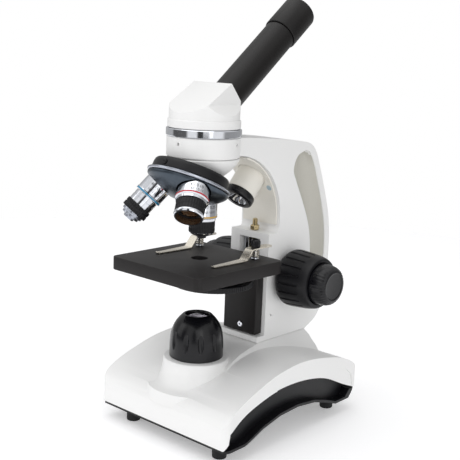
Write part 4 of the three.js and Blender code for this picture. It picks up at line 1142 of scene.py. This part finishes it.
class MICROSCOPE_OT_studio(Operator):
    """Lay the pale floor, set the soft lights and stand the camera"""

    bl_idname = "microscope.studio"
    bl_label = "Floor, light and camera"

    def execute(self, context):
        studio = context.scene.microscope_studio
        context.scene.view_settings.view_transform = "Standard"
        floor = bmesh.new()
        bmesh.ops.create_circle(floor, cap_ends=True, radius=0.85, segments=128)
        mesh = bpy.data.meshes.new("floor")
        floor.to_mesh(mesh)
        floor.free()
        ground = bpy.data.objects.new("floor", mesh)
        context.scene.collection.objects.link(ground)
        mesh.materials.append(paper("background_paper", studio.floor))
        self.sky(context)
        softbox("overhead", studio.key, (1.2, 1.2), (-0.1, -0.3, 1.3), (0, 0, 0.15))
        softbox("left_front", studio.key * 0.7, (0.8, 1.1), (-1.0, -1.1, 0.7), (0, 0, 0.15))
        softbox("right_front", studio.key * 0.9, (0.9, 1.1), (1.3, -0.9, 0.6), (0, 0, 0.15))
        self.camera(context, studio.lens)
        return {"FINISHED"}

    def sky(self, context):
        """White to the camera, brighter from the front for soft light, with upright dark panels
        that only reflections see."""
        world = bpy.data.worlds.new("studio_air")
        world.use_nodes = True
        context.scene.world = world
        tree = world.node_tree
        air = tree.nodes["Background"]
        way = add_node(tree, "TexCoord").outputs["Generated"]
        split = add_node(tree, "SeparateXYZ", Vector=way)
        angle = add_node(tree, "Math", {"operation": "ARCTAN2"}, at_0=split.outputs["Y"],
                         at_1=split.outputs["X"]).outputs[0]
        turns = add_node(tree, "MapRange", Value=angle, From_Min=-math.pi,
                         From_Max=math.pi).outputs["Result"]
        panels = add_node(tree, "ValToRGB", Fac=turns)
        stops = [(0.0, 0.5), (0.07, 0.5), (0.09, 0.1), (0.22, 0.14), (0.24, 1.0), (0.31, 1.0),
                 (0.325, 0.05), (0.41, 0.07), (0.425, 1.0), (0.53, 1.0), (0.56, 0.36),
                 (0.86, 0.42), (0.9, 0.5)]
        ramp = panels.color_ramp
        while len(ramp.elements) < len(stops):
            ramp.elements.new(0.5)
        for element, (position, level) in zip(ramp.elements, stops):
            element.position = position
            element.color = (level, level, level, 1)
        height = add_node(tree, "MapRange", Value=split.outputs["Z"], From_Min=0.35,
                          From_Max=0.75).outputs["Result"]
        mirrored = mixed(tree, height, panels.outputs["Color"], (1, 1, 1, 1))
        toward = add_node(tree, "VectorMath", {"operation": "DOT_PRODUCT"}, at_0=way,
                          at_1=(0.3, -0.85, 0.3)).outputs["Value"]
        lit = add_node(tree, "MapRange", Value=toward, From_Min=-0.7,
                       From_Max=0.9).outputs["Result"]
        fill = mixed(tree, lit, (0.36, 0.36, 0.355, 1), (0.82, 0.82, 0.83, 1))
        ray = add_node(tree, "LightPath")
        soft = mixed(tree, ray.outputs["Is Glossy Ray"], fill, mirrored)
        shade = mixed(tree, ray.outputs["Is Camera Ray"], soft, (1, 1, 1, 1))
        tree.links.new(shade, air.inputs["Color"])

    def camera(self, context, lens):
        """Turned to the object, with the small roll of a hand-levelled tripod."""
        right, up = Vector((0.744, 0.668, 0)), Vector((-0.130, 0.145, 0.981))
        roll = math.radians(2.39)
        across = (math.cos(roll) * right + math.sin(roll) * up).normalized()
        back = across.cross(math.cos(roll) * up - math.sin(roll) * right).normalized()
        eye = bpy.data.cameras.new("camera")
        eye.lens = lens
        eye.sensor_width = 36
        eye.clip_start, eye.clip_end = 0.01, 50
        holder = bpy.data.objects.new("camera", eye)
        context.scene.collection.objects.link(holder)
        axes = Matrix((across, back.cross(across), back)).transposed().to_4x4()
        holder.matrix_world = shift(0.4556, -0.5174, 0.2866) @ axes
        context.scene.camera = holder


# ---- Add-on -----------------------------------------------------------------------
OPERATORS = [
    MICROSCOPE_OT_base, MICROSCOPE_OT_feet, MICROSCOPE_OT_electrics, MICROSCOPE_OT_arm,
    MICROSCOPE_OT_slide_rods, MICROSCOPE_OT_head, MICROSCOPE_OT_eyepiece,
    MICROSCOPE_OT_turret, MICROSCOPE_OT_objectives, MICROSCOPE_OT_stage_plate,
    MICROSCOPE_OT_diaphragm, MICROSCOPE_OT_clips, MICROSCOPE_OT_knobs,
    MICROSCOPE_OT_lower_lamp, MICROSCOPE_OT_upper_lamp, MICROSCOPE_OT_studio,
]
GROUPS = {
    "microscope_castings": MicroscopeCastings, "microscope_optics": MicroscopeOptics,
    "microscope_controls": MicroscopeControls, "microscope_studio": MicroscopeStudio,
}


class MICROSCOPE_PT_panel(Panel):
    """Lists the settings and the steps that build the microscope"""

    bl_idname = "MICROSCOPE_PT_panel"
    bl_label = "Student microscope"
    bl_space_type = "VIEW_3D"
    bl_region_type = "UI"
    bl_category = "Microscope"

    def draw(self, context):
        for attribute, group in GROUPS.items():
            part = getattr(context.scene, attribute)
            for key in group.__annotations__:
                self.layout.prop(part, key)
        for operator in OPERATORS:
            self.layout.operator(operator.bl_idname)


def register():
    for kind in (*GROUPS.values(), *OPERATORS, MICROSCOPE_PT_panel):
        bpy.utils.register_class(kind)
    for attribute, group in GROUPS.items():
        setattr(bpy.types.Scene, attribute, PointerProperty(type=group))


def unregister():
    for attribute in GROUPS:
        delattr(bpy.types.Scene, attribute)
    for kind in reversed((*GROUPS.values(), *OPERATORS, MICROSCOPE_PT_panel)):
        bpy.utils.unregister_class(kind)


def main():
    register()
    bpy.ops.microscope.studio()
    for operator in OPERATORS[:-1]:
        family, step = operator.bl_idname.split(".")
        getattr(getattr(bpy.ops, family), step)()


if __name__ == "__main__":
    main()
